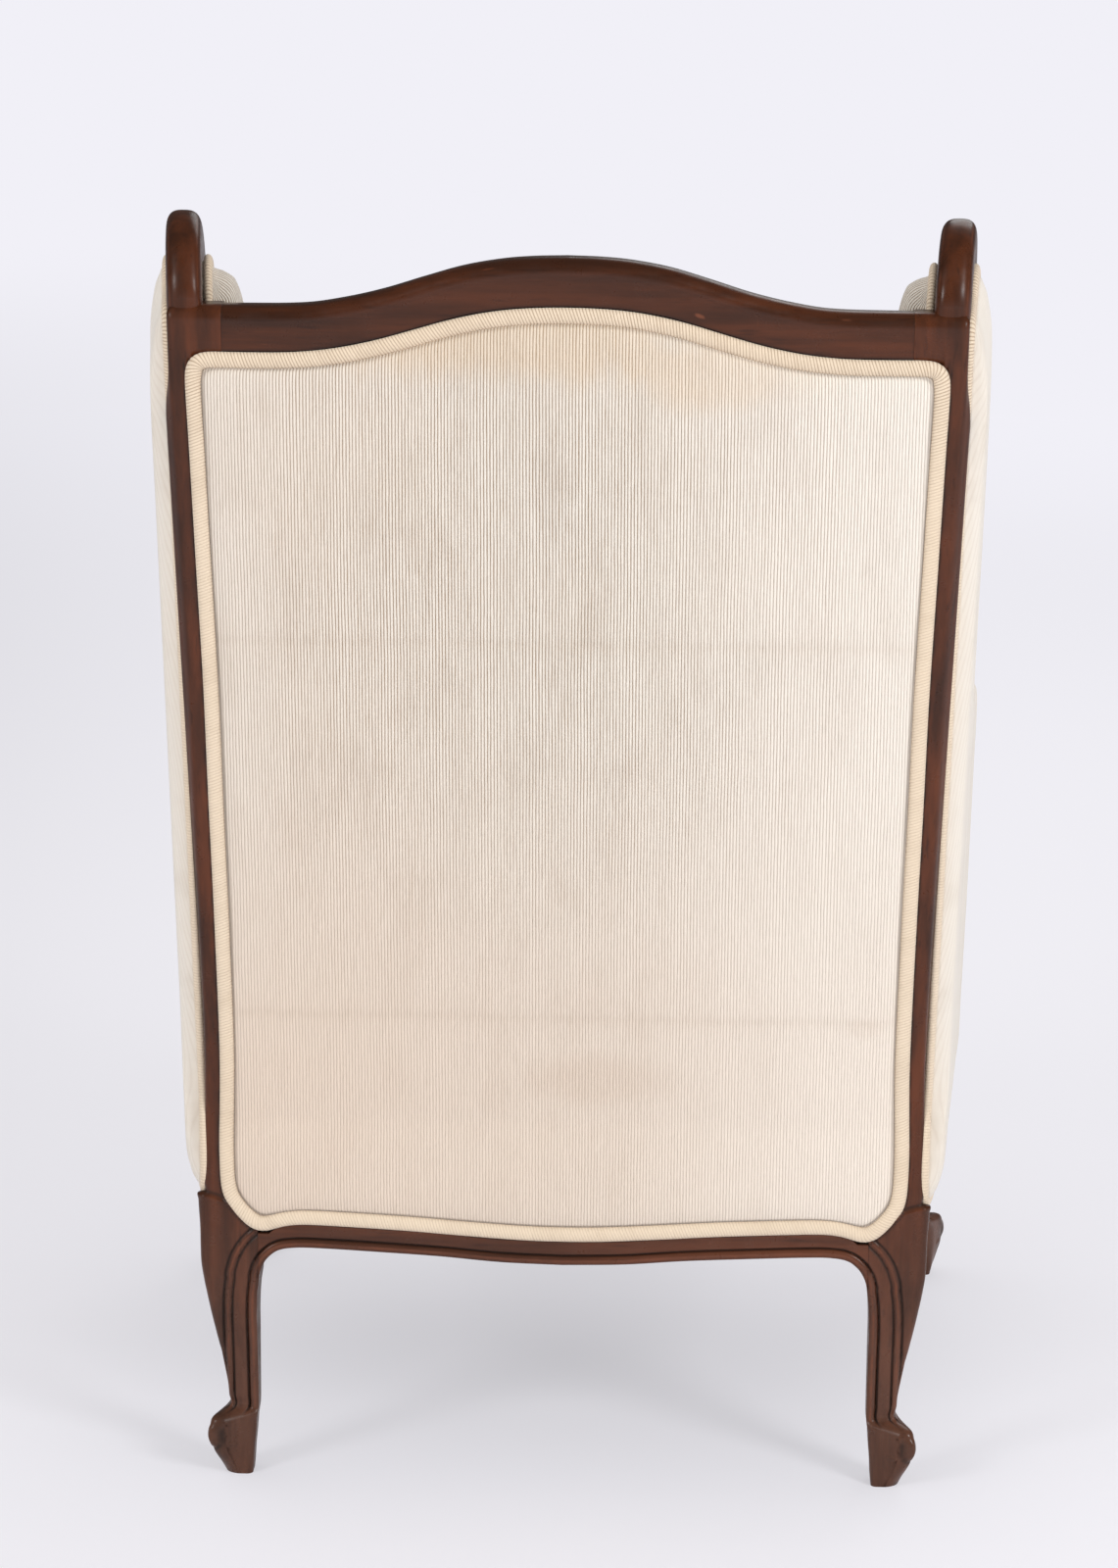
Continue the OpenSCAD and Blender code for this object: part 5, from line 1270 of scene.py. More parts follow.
def material(key):
    """Each finish of the chair, made the first time that it is asked for."""
    if key in MATERIALS:
        return MATERIALS[key]
    cloth, wood = bpy.context.scene.armchair_cloth, bpy.context.scene.armchair_wood
    ivory = (tuple(cloth.crown), tuple(cloth.valley), cloth.rib_pitch)
    stain = (tuple(wood.light), tuple(wood.dark))
    faded_valley = tuple(between(np.array(cloth.welt), np.array(cloth.valley), 0.8))
    makers = {
        "wood_x": lambda n: walnut(n, "x", *stain),
        "wood_y": lambda n: walnut(n, "y", *stain),
        "wood_z": lambda n: walnut(n, "z", *stain),
        "velvet": lambda n: velvet(n, *ivory),
        "velvet_side": lambda n: velvet(n, *ivory, depth=0.15, contrast=0.12),
        "velvet_back": lambda n: velvet(n, *ivory, stained=True),
        "velvet_welt": lambda n: velvet(n, tuple(cloth.welt), faded_valley, cloth.rib_pitch, depth=0.5,
                                        crisp_above=0.96),
        "jute": lambda n: woven(n, linear((186, 156, 112)), linear((116, 88, 56)), 0.0028),
        "hessian": lambda n: woven(n, linear((176, 150, 110)), linear((104, 82, 54)), 0.0022),
        "dust": lambda n: woven(n, linear((86, 78, 70)), linear((48, 43, 39)), 0.0012, 0.6),
        "beech": bare_beech,
        "steel": screw_metal,
    }
    MATERIALS[key] = makers[key](key)
    return MATERIALS[key]


def dress(obj, finish, nodes, body="frame"):
    """Gives a finished piece its material, hides the CAD nodes that it stands for and attaches it to the body
    that it rides on."""
    obj.data.materials.clear()
    obj.data.materials.append(material(finish))
    if nodes:
        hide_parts(*nodes)
    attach(obj, body)


def show_wood(piece, grain, node):
    """Dresses a piece of the show frame in walnut, its grain along one axis."""
    dress(piece, "wood_" + grain, [node])


def upholster(piece, finish, nodes, body="frame"):
    """Dresses a stuffed piece in velvet."""
    dress(piece, finish, nodes, body)


class ArmchairMaker(bpy.types.Operator):
    """Makes one group of the armchair's pieces."""
    bl_options = {"REGISTER", "UNDO"}


# Show wood

class ARMCHAIR_OT_rear_posts(ArmchairMaker):
    """Carved rear legs and posts"""
    bl_idname, bl_label = "armchair.rear_posts", "Rear legs and posts"

    def execute(self, context):
        rings, marks = rear_post_rings()
        for word, s in SIDES:
            post = skin(word + "_post_carved", rings, marks=marks, sharp=55, side=s)
            show_wood(post, "z", word + "_rear_post")
        return {"FINISHED"}


class ARMCHAIR_OT_front_legs(ArmchairMaker):
    """Carved front legs"""
    bl_idname, bl_label = "armchair.front_legs", "Front legs"

    def execute(self, context):
        rings, marks = front_leg_rings()
        for word, s in SIDES:
            leg = skin(word + "_foreleg_carved", rings, marks=marks, sharp=55, side=s)
            show_wood(leg, "z", word + "_front_leg")
        return {"FINISHED"}


class ARMCHAIR_OT_seat_rails(ArmchairMaker):
    """Moulded seat rails on the four sides"""
    bl_idname, bl_label = "armchair.seat_rails", "Seat rails"

    def execute(self, context):
        half = P.half_back - P.leg_w
        rings, marks = rail_rings(self.places(half, 361), half, REAR_LEG_SHARES, P.leg_h, 0,
                                  lambda x: band_top(x, P.half_back - P.leg_w), P.rebate,
                                  lambda x, out, up: place(x, P.back_y + out, up))
        show_wood(skin("rear_rail_carved", rings, marks=marks, sharp=55), "x", "rear_seat_rail")
        half = front_leg_x() - P.leg_w
        rings, marks = rail_rings(self.places(half, 401), half, FRONT_LEG_SHARES, P.rail_top, 0,
                                  lambda x: 0 * x + P.rail_top - P.rail_band, P.groove_d,
                                  lambda x, out, up: place(x, P.back_y - P.seat_depth - bow_at(x) - out, up))
        show_wood(skin("front_rail_carved", rings, marks=marks, sharp=55), "x", "front_seat_rail")
        half = (P.seat_depth - 2 * P.leg_w) / 2
        rings, marks = rail_rings(self.places(half, 361), half, REAR_LEG_SHARES, P.leg_h, P.bead_d,
                                  lambda x: 0 * x + P.panel_h - P.groove_d, P.groove_d,
                                  lambda x, out, up: at_side(x + P.seat_depth / 2, up, out))
        for word, s in SIDES:
            rail = skin(word + "_rail_carved", rings, marks=marks, sharp=55, side=s)
            show_wood(rail, "y", word + "_side_rail")
        return {"FINISHED"}

    def places(self, half, count):
        """Places along a rail, closer together towards its ends."""
        t = np.linspace(-1, 1, count)
        return half * (0.35 * t + 0.65 * np.sin(t * np.pi / 2))


class ARMCHAIR_OT_crest(ArmchairMaker):
    """Arched crest rail with its thumb mould"""
    bl_idname, bl_label = "armchair.crest", "Crest rail"

    def execute(self, context):
        rings, marks = crest_rings()
        show_wood(skin("crest_carved", rings, marks=marks, sharp=50), "x", "crest_rail")
        return {"FINISHED"}


def arm_width(t):
    """Width of the arm rail: it swells towards the hand and draws in at the scroll."""
    return (between(P.side_t, P.hand_w, np.clip((t - 0.18) / 0.37, 0, 1) ** 2)
            * (1 - 0.45 * (np.maximum(0, t - 0.7) / 0.3) ** 2))


class ARMCHAIR_OT_side_frames(ArmchairMaker):
    """Wing rails, arm rails and arm supports"""
    bl_idname, bl_label = "armchair.side_frames", "Wings, arms and supports"

    def execute(self, context):
        wing_h = lambda t: between(P.wing_rail_d, P.arm_rail_h,
                                   np.where(t < 0.15, 1 - t / 0.15, (t - 0.15) / 0.85))
        arm_h = lambda t: P.arm_rail_h * (1 - 0.5 * np.maximum(0, t - 0.62) / 0.38)
        for word, s in SIDES:
            wing = sweep(word + "_wing_carved", WING_ROUTE, lambda t: P.side_t + 0 * t, wing_h, 190,
                         lambda a, z: (a, 0 * z + P.shoulder_h - 10), s, end=0.965)
            show_wood(wing, "z", word + "_wing_rail")
            arm = sweep(word + "_arm_carved", ARM_ROUTE, arm_width, arm_h, 200,
                        lambda a, z: (P.post_d - lean(z), z), s)
            show_wood(arm, "y", word + "_arm_rail")
            support = sweep(word + "_support_carved", SUPPORT_ROUTE,
                            lambda t: P.side_t * (1 - 0.1 * np.sin(np.pi * t)),
                            lambda t: P.support_d * (1 - 0.3 * np.sin(np.pi * t)), 120,
                            lambda a, z: (a, 0 * z + P.rail_top), s)
            show_wood(support, "z", word + "_arm_support")
        return {"FINISHED"}


# Upholstery

class ARMCHAIR_OT_outside_back(ArmchairMaker):
    """Ribbed outside back with its welt"""
    bl_idname, bl_label = "armchair.outside_back", "Outside back"

    def execute(self, context):
        loop = curved(back_loop(), 1100)
        t = P.back_swell
        hub = np.array([0, between(P.rail_bottom, P.shoulder_h, 0.5)])
        profile = [[1, P.rebate - 2.5], [0.985, P.rebate + t * 0.36], [0.94, P.rebate + t * 0.70],
                   [0.75, P.rebate + t * 0.95], [0.4, P.rebate + t], [0, P.rebate + t]]
        rim = inset(loop, P.welt_w - 2, 440, 4)
        # The seam gives painted shade in the stitched line, weaker near the top.
        panel = dome("outside_back_cover", rim, hub, profile, behind, crowned(0.02, 60, 2.4),
                     seam=lambda q: between(0.85, 0.3, smooth(930, 965, q[..., 1])))
        upholster(panel, "velvet_back", ["outside_back_panel"])
        line = inset(loop, P.welt_w / 2 + P.soft_gap, 900, 10)
        welt = cord("outside_back_cord", line, P.welt_w, P.welt_t, behind)
        upholster(welt, "velvet_welt", ["outside_back_welt"])
        return {"FINISHED"}


class ARMCHAIR_OT_outside_sides(ArmchairMaker):
    """Outside covers of the wings and arms with their welts"""
    bl_idname, bl_label = "armchair.outside_sides", "Outside sides"

    def execute(self, context):
        loop = curved(side_loop(), 1200)
        t, e = P.side_swell, P.pad_edge_t
        hub = np.array([P.seat_depth * 0.1, between(P.panel_h, P.shoulder_h, 0.43)])
        profile = [[1, e - 1], [0.97, t * 0.62], [0.90, t * 0.92], [0.7, t], [0.35, t * 0.97], [0, t * 0.97]]
        rim = inset(loop, P.welt_w - 2, 460, 4)
        line = inset(loop, P.welt_w / 2, 900, 10)
        sunk = -1.0 - 3.0 * smooth(60, 25, line[:, :1])
        for word, s in SIDES:
            panel = dome(word + "_outside_cover", rim, hub, profile, outer_side, crowned(0.02, 50, 2.2), s)
            upholster(panel, "velvet_side", [word + "_outside_panel"])
            welt = cord(word + "_outside_cord", line, P.welt_w, P.welt_t, outer_side, side=s, slant=0.1,
                        lift=sunk)
            upholster(welt, "velvet_welt", [word + "_outside_welt"])
        return {"FINISHED"}


def rib_rule(centre, reach, thick, out_of, across):
    """UV of a pad with ribs up its face: across the face and up it, and round the rim by the missing
    height."""
    def rule(co, normal):
        """Across the face with the rim's missing height added, and height."""
        a = across(co)
        out = out_of(co)
        rim = smooth(0.82, 1.0, np.abs(a - centre) / reach)
        u = a + np.sign(a - centre) * np.maximum(0, thick - out) * rim
        return np.stack([u, co[:, 2]], -1)
    return rule


class ARMCHAIR_OT_inside_back(ArmchairMaker):
    """Thick inside back pad and its top welt"""
    bl_idname, bl_label = "armchair.inside_back", "Inside back"

    def execute(self, context):
        t, w = P.back_pad_t, P.crest_half
        start = t - 8
        loop = curved(pad_loop(), 360, 2)
        hub = np.array([0, between(P.deck_top, P.shoulder_h, 0.46)])
        profile = [[1, P.pad_edge_t * 0.7], [0.97, start * 0.34], [0.93, start * 0.60], [0.86, start * 0.82],
                   [0.7, start * 0.95], [0.3, start], [0, start]]
        pad = dome("inside_back_pillow", loop, hub, profile, before, crowned(0.03, 34, 1.8))
        front_out = lambda co: P.back_y + lean(co[:, 2]) - P.back_base - co[:, 1]
        puff(pad, lambda co: smooth(4.5, 1.0, front_out(co)),
             cap=context.scene.armchair_cloth.pad_rise / MM * 1.4, spare=0.01)
        unwrap(pad, rib_rule(0, w, t, front_out, lambda co: co[:, 0]))
        upholster(pad, "velvet", ["inside_back_pad"])
        w = P.crest_half - P.side_pad_t
        x = np.linspace(w, -w, 260)
        line = np.stack([x, crest_low(x) - P.welt_w * 0.45], -1)
        welt = cord("inside_back_cord", line, P.welt_w * 0.75, P.welt_t * 0.9,
                    lambda x, z, o: on_back(x, z, -P.post_d - P.soft_gap - o), looped=False)
        upholster(welt, "velvet_welt", ["inside_back_welt"])
        return {"FINISHED"}


class ARMCHAIR_OT_inside_sides(ArmchairMaker):
    """Wing and arm pads inside the sides, and the wing welts"""
    bl_idname, bl_label = "armchair.inside_sides", "Inside sides"

    def execute(self, context):
        t, e = P.side_pad_t - 4, P.pad_edge_t
        profile = [[1, e * 0.7], [0.985, t * 0.55], [0.95, t * 0.86], [0.86, t * 0.98], [0.5, t], [0, t]]
        rise = context.scene.armchair_cloth.pad_rise / MM
        inner_out = lambda co: side_x(P.back_y - co[:, 1], co[:, 2]) - P.side_t - P.soft_gap - co[:, 0]
        hold = lambda co: smooth(4.0, 1.0, inner_out(co))
        forward = lambda co: P.back_y - co[:, 1]
        wing = dome("left_wing_pillow", curved(wing_loop(P.welt_w * 0.75 + P.soft_gap), 220, 2),
                    np.array([P.seat_depth * 0.03, between(P.arm_h, P.shoulder_h, 0.5)]), profile, inner_side,
                    crowned(0.05, 24, 1.8), root=(curved(wing_loop(P.wing_lap + P.soft_gap), 220, 2),
                                                  P.side_t * 0.35))
        arm = dome("left_arm_pillow", curved(arm_loop(), 260, 2),
                   np.array([P.seat_depth * 0.36, between(P.deck_top, P.arm_h, 0.5)]), profile, inner_side,
                   crowned(0.05, 24, 1.8))
        for pad, node, centre, reach in ((wing, "wing_pad", P.seat_depth * 0.03, 78),
                                         (arm, "inside_arm_pad", P.seat_depth * 0.40, 215)):
            puff(pad, hold, cap=rise, spare=0.01)
            unwrap(pad, rib_rule(centre, reach, t, inner_out, forward))
            other = twin(pad, pad.name.replace("left", "right"))
            for piece, word in ((pad, "left"), (other, "right")):
                upholster(piece, "velvet", [f"{word}_{node}"])
        low_end, high_end = 9.6 / 11, 0.05 / 11
        line = offset_route(WING_ROUTE, np.linspace(low_end, high_end, 220), -P.welt_w * 0.375 - WING_COVER)
        for word, s in SIDES:
            welt = cord(word + "_wing_cord", line, P.welt_w * 0.75, P.welt_t * 0.9, inner_side, looped=False,
                        side=s)
            upholster(welt, "velvet_welt", [word + "_wing_welt"])
        return {"FINISHED"}


class ARMCHAIR_OT_arm_rests(ArmchairMaker):
    """Padded rests on the arm rails"""
    bl_idname, bl_label = "armchair.arm_rests", "Arm rests"

    def execute(self, context):
        u = np.linspace(0, 1, 110)[:, None]
        t = between(0.25, 0.6, u)
        k = np.maximum(0.22, np.maximum(0, 1 - np.abs(2 * u - 1) ** 5) ** 0.5)
        w = between(P.side_t, P.hand_w, np.minimum(1, (t / 0.55) ** 2)) * 0.46 * k
        turn = np.linspace(0, np.pi, 40)[None]
        dome_x, dome_h = np.cos(turn), np.sin(turn) ** 0.75
        across = np.concatenate([w * np.sign(dome_x) * np.abs(dome_x) ** 0.8,
                                 w * np.linspace(-0.9, 0.9, 12)[None]], 1)
        rise = np.concatenate([P.arm_pad_t * k * dome_h, 0 * u + np.zeros((1, 12))], 1)
        p, v = along(ARM_ROUTE, t[:, 0])[:, None], heading(ARM_ROUTE, t[:, 0])[:, None]
        r = P.arm_rail_h / 2 + P.soft_gap + rise
        rings = at_side(p[..., 0] - v[..., 1] * r, p[..., 1] + v[..., 0] * r, p[..., 2] + across)
        cloth_long, cloth_top, cloth_round = 215, 60, 100
        length = np.linspace(0, cloth_long, 110)[:, None] + 0 * across[:, :1]
        girth = np.concatenate([np.linspace(0, cloth_top, 40),
                                np.linspace(cloth_top + 1, cloth_round, 13)])[None]
        uv = np.stack(np.broadcast_arrays(girth, np.broadcast_to(length, (110, 53))), -1)
        for word, s in SIDES:
            rest = skin(word + "_rest_pillow", rings, uv, side=s, sharp=75)
            upholster(rest, "velvet", [word + "_arm_rest"])
        return {"FINISHED"}


class ARMCHAIR_OT_seat_cushion(ArmchairMaker):
    """Loose seat cushion with its border and two welts"""
    bl_idname, bl_label = "armchair.seat_cushion", "Seat cushion"

    def execute(self, context):
        h, d = P.cushion_side_h, P.cushion_welt_d
        z0 = P.deck_top + P.soft_gap
        low_seam, high_seam = z0 + d / 2, z0 + h - d / 2
        plan = curved(cushion_loop(), 420, 3)
        loop = inset(plan, 4.5, 420, 3)
        hub = np.array([0, P.seat_depth * 0.55])
        border = np.linspace(0, 1, 12)[1:-1]
        draw = P.cushion_draw * 0.5 * np.sin(np.pi * border)
        crown = P.cushion_crown - 7
        layers = [(1 - 0.018, z0), (1, low_seam)]
        layers += [(1 - k / P.half_back, between(low_seam, high_seam, b)) for k, b in zip(draw, border)]
        layers += [(1, high_seam)]
        layers += [(s, high_seam + d / 2 + crown * (1 - ((s - 0.1) / 0.9) ** 2.6))
                   for s in (0.985, 0.96, 0.92, 0.86, 0.78, 0.68, 0.56, 0.42, 0.28, 0.12)]
        grid = np.stack([hub + (loop - hub) * s for s, _ in layers])
        heights = np.array([z for _, z in layers])[:, None] + np.zeros((1, len(loop)))
        pillow = skin("seat_cushion_pillow", level(grid[..., 0], grid[..., 1], heights),
                      hubs=[level(hub[0], hub[1], z0), level(hub[0], hub[1], heights[-1, 0])])
        seams = lambda co: np.maximum(smooth(2.4, 0.8, co[:, 2] - z0), np.maximum(
            smooth(4.0, 1.5, np.abs(co[:, 2] - low_seam)),
            smooth(4.0, 1.5, np.abs(co[:, 2] - high_seam)) * smooth(
                24, 10, distance(np.stack([co[:, 0], P.back_y - co[:, 1]], -1), loop))))
        puff(pillow, seams, voxel=0.0075, cap=context.scene.armchair_cloth.seat_rise / MM, pressure=5.0,
             spare=0.012)
        steps = np.concatenate([[0], np.cumsum(np.linalg.norm(np.diff(loop, axis=0), axis=1))])
        onward = np.roll(loop, -1, 0) - np.roll(loop, 1, 0)
        onward = onward / np.linalg.norm(onward, axis=1, keepdims=True)

        def rule(co, normal):
            """Border: run along the seam and height. Top and bottom: the plan."""
            at = np.stack([co[:, 0], P.back_y - co[:, 1]], -1)
            nearest = np.concatenate([((part[:, None] - loop[None]) ** 2).sum(-1).argmin(1)
                                      for part in np.array_split(at, max(1, len(at) // 3000))])
            side = (co[:, 2] > low_seam + 1) & (co[:, 2] < high_seam + 2) & (np.abs(normal[:, 2]) < 0.72)
            run = steps[nearest] + ((at - loop[nearest]) * onward[nearest]).sum(-1)
            return np.where(side[:, None], np.stack([run, co[:, 2]], -1), co[:, :2])

        unwrap(pillow, rule)
        upholster(pillow, "velvet", ["seat_cushion"], "cushion")
        line = inset(plan, 3.2, 900, 8)
        for word, z in (("lower", z0), ("upper", z0 + h - d)):
            welt = cord(f"seat_cushion_{word}_cord", line, d, d, level, lift=z)
            upholster(welt, "velvet_welt", [], "cushion")
        return {"FINISHED"}


# Hidden layers

def strap(name, start, end, up, thick=P.web_t):
    """A webbing strap between two points: a grid across and along it, with a face on each side along up."""
    start, end, up = (np.asarray(v, float) for v in (start, end, up))
    rows, columns = 41, 7
    t = np.linspace(0, 1, rows)[:, None, None]
    s = np.linspace(-0.5, 0.5, columns)[None, :, None]
    across = np.cross(end - start, up)
    across = across / np.linalg.norm(across) * P.web_w
    mid = start + (end - start) * t + across * s
    ring = np.concatenate([mid + up * thick / 2, (mid - up * thick / 2)[:, ::-1]], 1)
    u = np.concatenate([np.linspace(0, P.web_w, columns),
                        np.linspace(P.web_w + thick, 2 * P.web_w + thick, columns),
                        [2 * P.web_w + 2 * thick]])
    v = np.linspace(0, float(np.linalg.norm(end - start)), rows)
    uv = np.stack(np.broadcast_arrays(u[None], v[:, None]), -1)
    return skin(name, ring, uv, sharp=60)


def sheet_of(name, loop, hub, at, sag):
    """A thin sheet: its outline shrinks to a hub by a scale, and it sags by (1 - scale^2)^2 of the whole
    sag."""
    scales, thick = np.linspace(1, 0.04, 20), P.hessian_t * 0.9
    q = hub + (loop[None] - hub) * scales[:, None, None]
    drop = -sag * (1 - scales[:, None] ** 2) ** 2 + np.zeros((1, len(loop)))
    grid = np.concatenate([q[::-1], q])
    heights = np.concatenate([drop[::-1] - thick / 2, drop + thick / 2])
    uv = np.concatenate([grid, grid[:, :1]], 1)
    return skin(name, at(grid[..., 0], grid[..., 1], heights), uv, sharp=60)


def flat_area(obj):
    """Half of a thin piece's surface, in square metres."""
    areas = np.empty(len(obj.data.polygons))
    obj.data.polygons.foreach_get("area", areas)
    return float(areas.sum()) / 2


class ARMCHAIR_OT_hidden_layers(ArmchairMaker):
    """Webbing, hessian, seat deck and dust cover"""
    bl_idname, bl_label = "armchair.hidden_layers", "Webbing and linings"

    def execute(self, context):
        numbers = count()
        self.seat_straps(numbers)
        self.back_straps(numbers)
        self.linings()
        self.deck()
        return {"FINISHED"}

    def seat_straps(self, numbers):
        """Straps front to back on the seat rails, and across over them."""
        w, top, hold = P.web_w, P.rail_top + P.web_t / 2 + 0.05, P.rail_t * 0.3
        ends = []
        for k in (-0.72, -0.36, 0, 0.36, 0.72):
            x = k * P.half_back
            y = P.back_y - P.seat_depth - float(bow_at(abs(x) + w / 2)) + hold
            ends.append(((x, y, top), (x, P.back_y - hold, top)))
        self.straps(numbers, "seat_strap_long", "seat_webbing_long", ["left_side_rail"], ends, (0, 0, 1))
        ends = []
        for k in (0.13, 0.26, 0.39, 0.52, 0.65, 0.88):
            a = k * P.seat_depth
            x = float(side_x(a - w / 2, P.rail_top)) - hold
            ends.append(((-x, P.back_y - a, top + P.web_t), (x, P.back_y - a, top + P.web_t)))
        self.straps(numbers, "seat_strap_cross", "seat_webbing_cross", ["seat_strap_long_0"], ends, (0, 0, 1))

    def back_straps(self, numbers):
        """Straps up the back frame, and across in front of them."""
        normal = (0, math.cos(math.radians(P.rake)), -math.sin(math.radians(P.rake)))
        at = lambda x, z, layer: on_back(x, z, -P.post_d - P.web_t * (layer + 0.5))
        ends = []
        for k in (-0.6, -0.2, 0.2, 0.6):
            x = k * P.crest_half
            high = float(crest_low(abs(x) + P.web_w / 2)) - P.welt_w
            ends.append((at(x, P.lining_low, 0), at(x, high, 0)))
        self.straps(numbers, "back_strap_up", "back_webbing", ["lower_back_rail"], ends, normal,
                    P.web_t * 0.96)
        x, ends = P.crest_half + P.post_w * 0.25, []
        for k in (0.13, 0.33, 0.66, 0.87):
            z = between(P.lining_low, P.lining_high, k)
            ends.append((at(-x, z, 1), at(x, z, 1)))
        self.straps(numbers, "back_strap_across", None, ["back_strap_up_11"], ends, normal, P.web_t * 0.96)

    def straps(self, numbers, name, node, rests, ends, up, thick=P.web_t):
        """Straps between pairs of ends, numbered on. The first of them stands for the node, where there is
        one."""
        nodes = [node] if node else []
        for start, end in ends:
            piece = strap(f"{name}_{next(numbers)}", start, end, up, thick)
            dress(piece, "jute", nodes)
            size = flat_area(piece)
            nodes = []

    def linings(self):
        """Hessian over both webbings, and the dust cover under the seat rails."""
        middle = np.array([0, P.seat_depth / 2])
        over = P.rail_top + 2 * P.web_t + P.hessian_t / 2
        under = P.rail_bottom + P.rail_wave + P.bead_d + P.rail_band + P.hessian_t / 2
        self.lining("seat_lining", "hessian", "jute", "seat_hessian", ["seat_strap_cross_5"],
                    curved(deck_loop(P.soft_gap / 2), 220), middle, lambda x, a, o: level(x, a, over + o))
        self.lining("under_lining", "dust", "dust_cloth", "dust_cover", ["rear_rail_carved"],
                    curved(self.under_plan(), 220), middle, lambda x, a, o: level(x, a, under + o), sag=6)
        x = np.linspace(-P.crest_half + 2, P.crest_half - 2, 60)
        top_edge = np.stack([x, crest_low(x) - P.welt_w], -1)[::-1]
        bottom = np.stack([x, 0 * x + P.lining_low], -1)
        back = -P.post_d - 2 * P.web_t - P.hessian_t / 2
        self.lining("back_lining", "hessian", "jute", "back_hessian", ["back_strap_across_18"],
                    even(np.concatenate([bottom, top_edge]), 260),
                    np.array([0, between(P.lining_low, P.lining_high, 0.5)]),
                    lambda x, z, o: on_back(x, z, back + o))

    def lining(self, name, finish, slot, node, rests, outline, hub, at, sag=0):
        """A thin sheet over an outline, dressed; the flat size that its own extent gives is worked out and
        then not used.
        """
        piece = sheet_of(name, outline, hub, at, sag)
        dress(piece, finish, [node])
        low, high = (np.array(f(coordinates(piece.data), 0)) for f in (np.min, np.max))
        wide, long = high[0] - low[0], np.linalg.norm((high - low)[1:])
        min(flat_area(piece), float(wide * long))

    def deck(self):
        """The stuffed seat deck on its hessian."""
        profile = [[1, P.deck_t * 0.45], [0.985, P.deck_t * 0.85], [0.95, P.deck_t], [0, P.deck_t]]
        deck = dome("seat_deck_cover", curved(deck_loop(P.soft_gap), 300), np.array([0, P.seat_depth / 2]),
                    profile, lambda x, a, o: level(x, a, P.stack_h + o), crowned(0.03, 26, 2.0))
        upholster(deck, "velvet", ["seat_deck"])

    def under_plan(self):
        """Plan of the space inside the seat rails, with its corners cut past the legs."""
        g = P.soft_gap + 1
        a0, a1 = P.leg_w + g, P.seat_depth - P.leg_w - g
        x0, x1 = P.half_back - P.leg_w - g, front_leg_x() - P.leg_w - g
        half = [[x0 * s, P.rail_t + g] for s in (0.2, 0.5, 0.8)] + [[x0, P.rail_t + g], [x0, a0]]
        half += [[float(side_x(a, P.rail_top)) - P.rail_t - g, a] for a in (a0, between(a0, a1, 0.5), a1)]
        half += [[x1, a1], [x1, P.seat_depth - P.rail_t - g]]
        half += [[x1 * s, P.seat_depth - P.rail_t - g + float(bow_at(x1 * s))]
                 for s in (0.8, 0.6, 0.4, 0.2, 0.07)]
        return even(whole(half), 120)


class ARMCHAIR_OT_frame_parts(ArmchairMaker):
    """Materials of the hidden rails, corner blocks and screws"""
    bl_idname, bl_label = "armchair.frame_parts", "Hidden frame parts"

    def execute(self, context):
        hidden = ("lower_back_rail", "left_tacking_rail", "right_tacking_rail", "corner_blocks",
                  "corner_screws")
        for node in hidden:
            obj = frame["nodes"][node]
            obj.data.materials.clear()
            obj.data.materials.append(material("steel" if node == "corner_screws" else "beech"))
        return {"FINISHED"}


# Stage

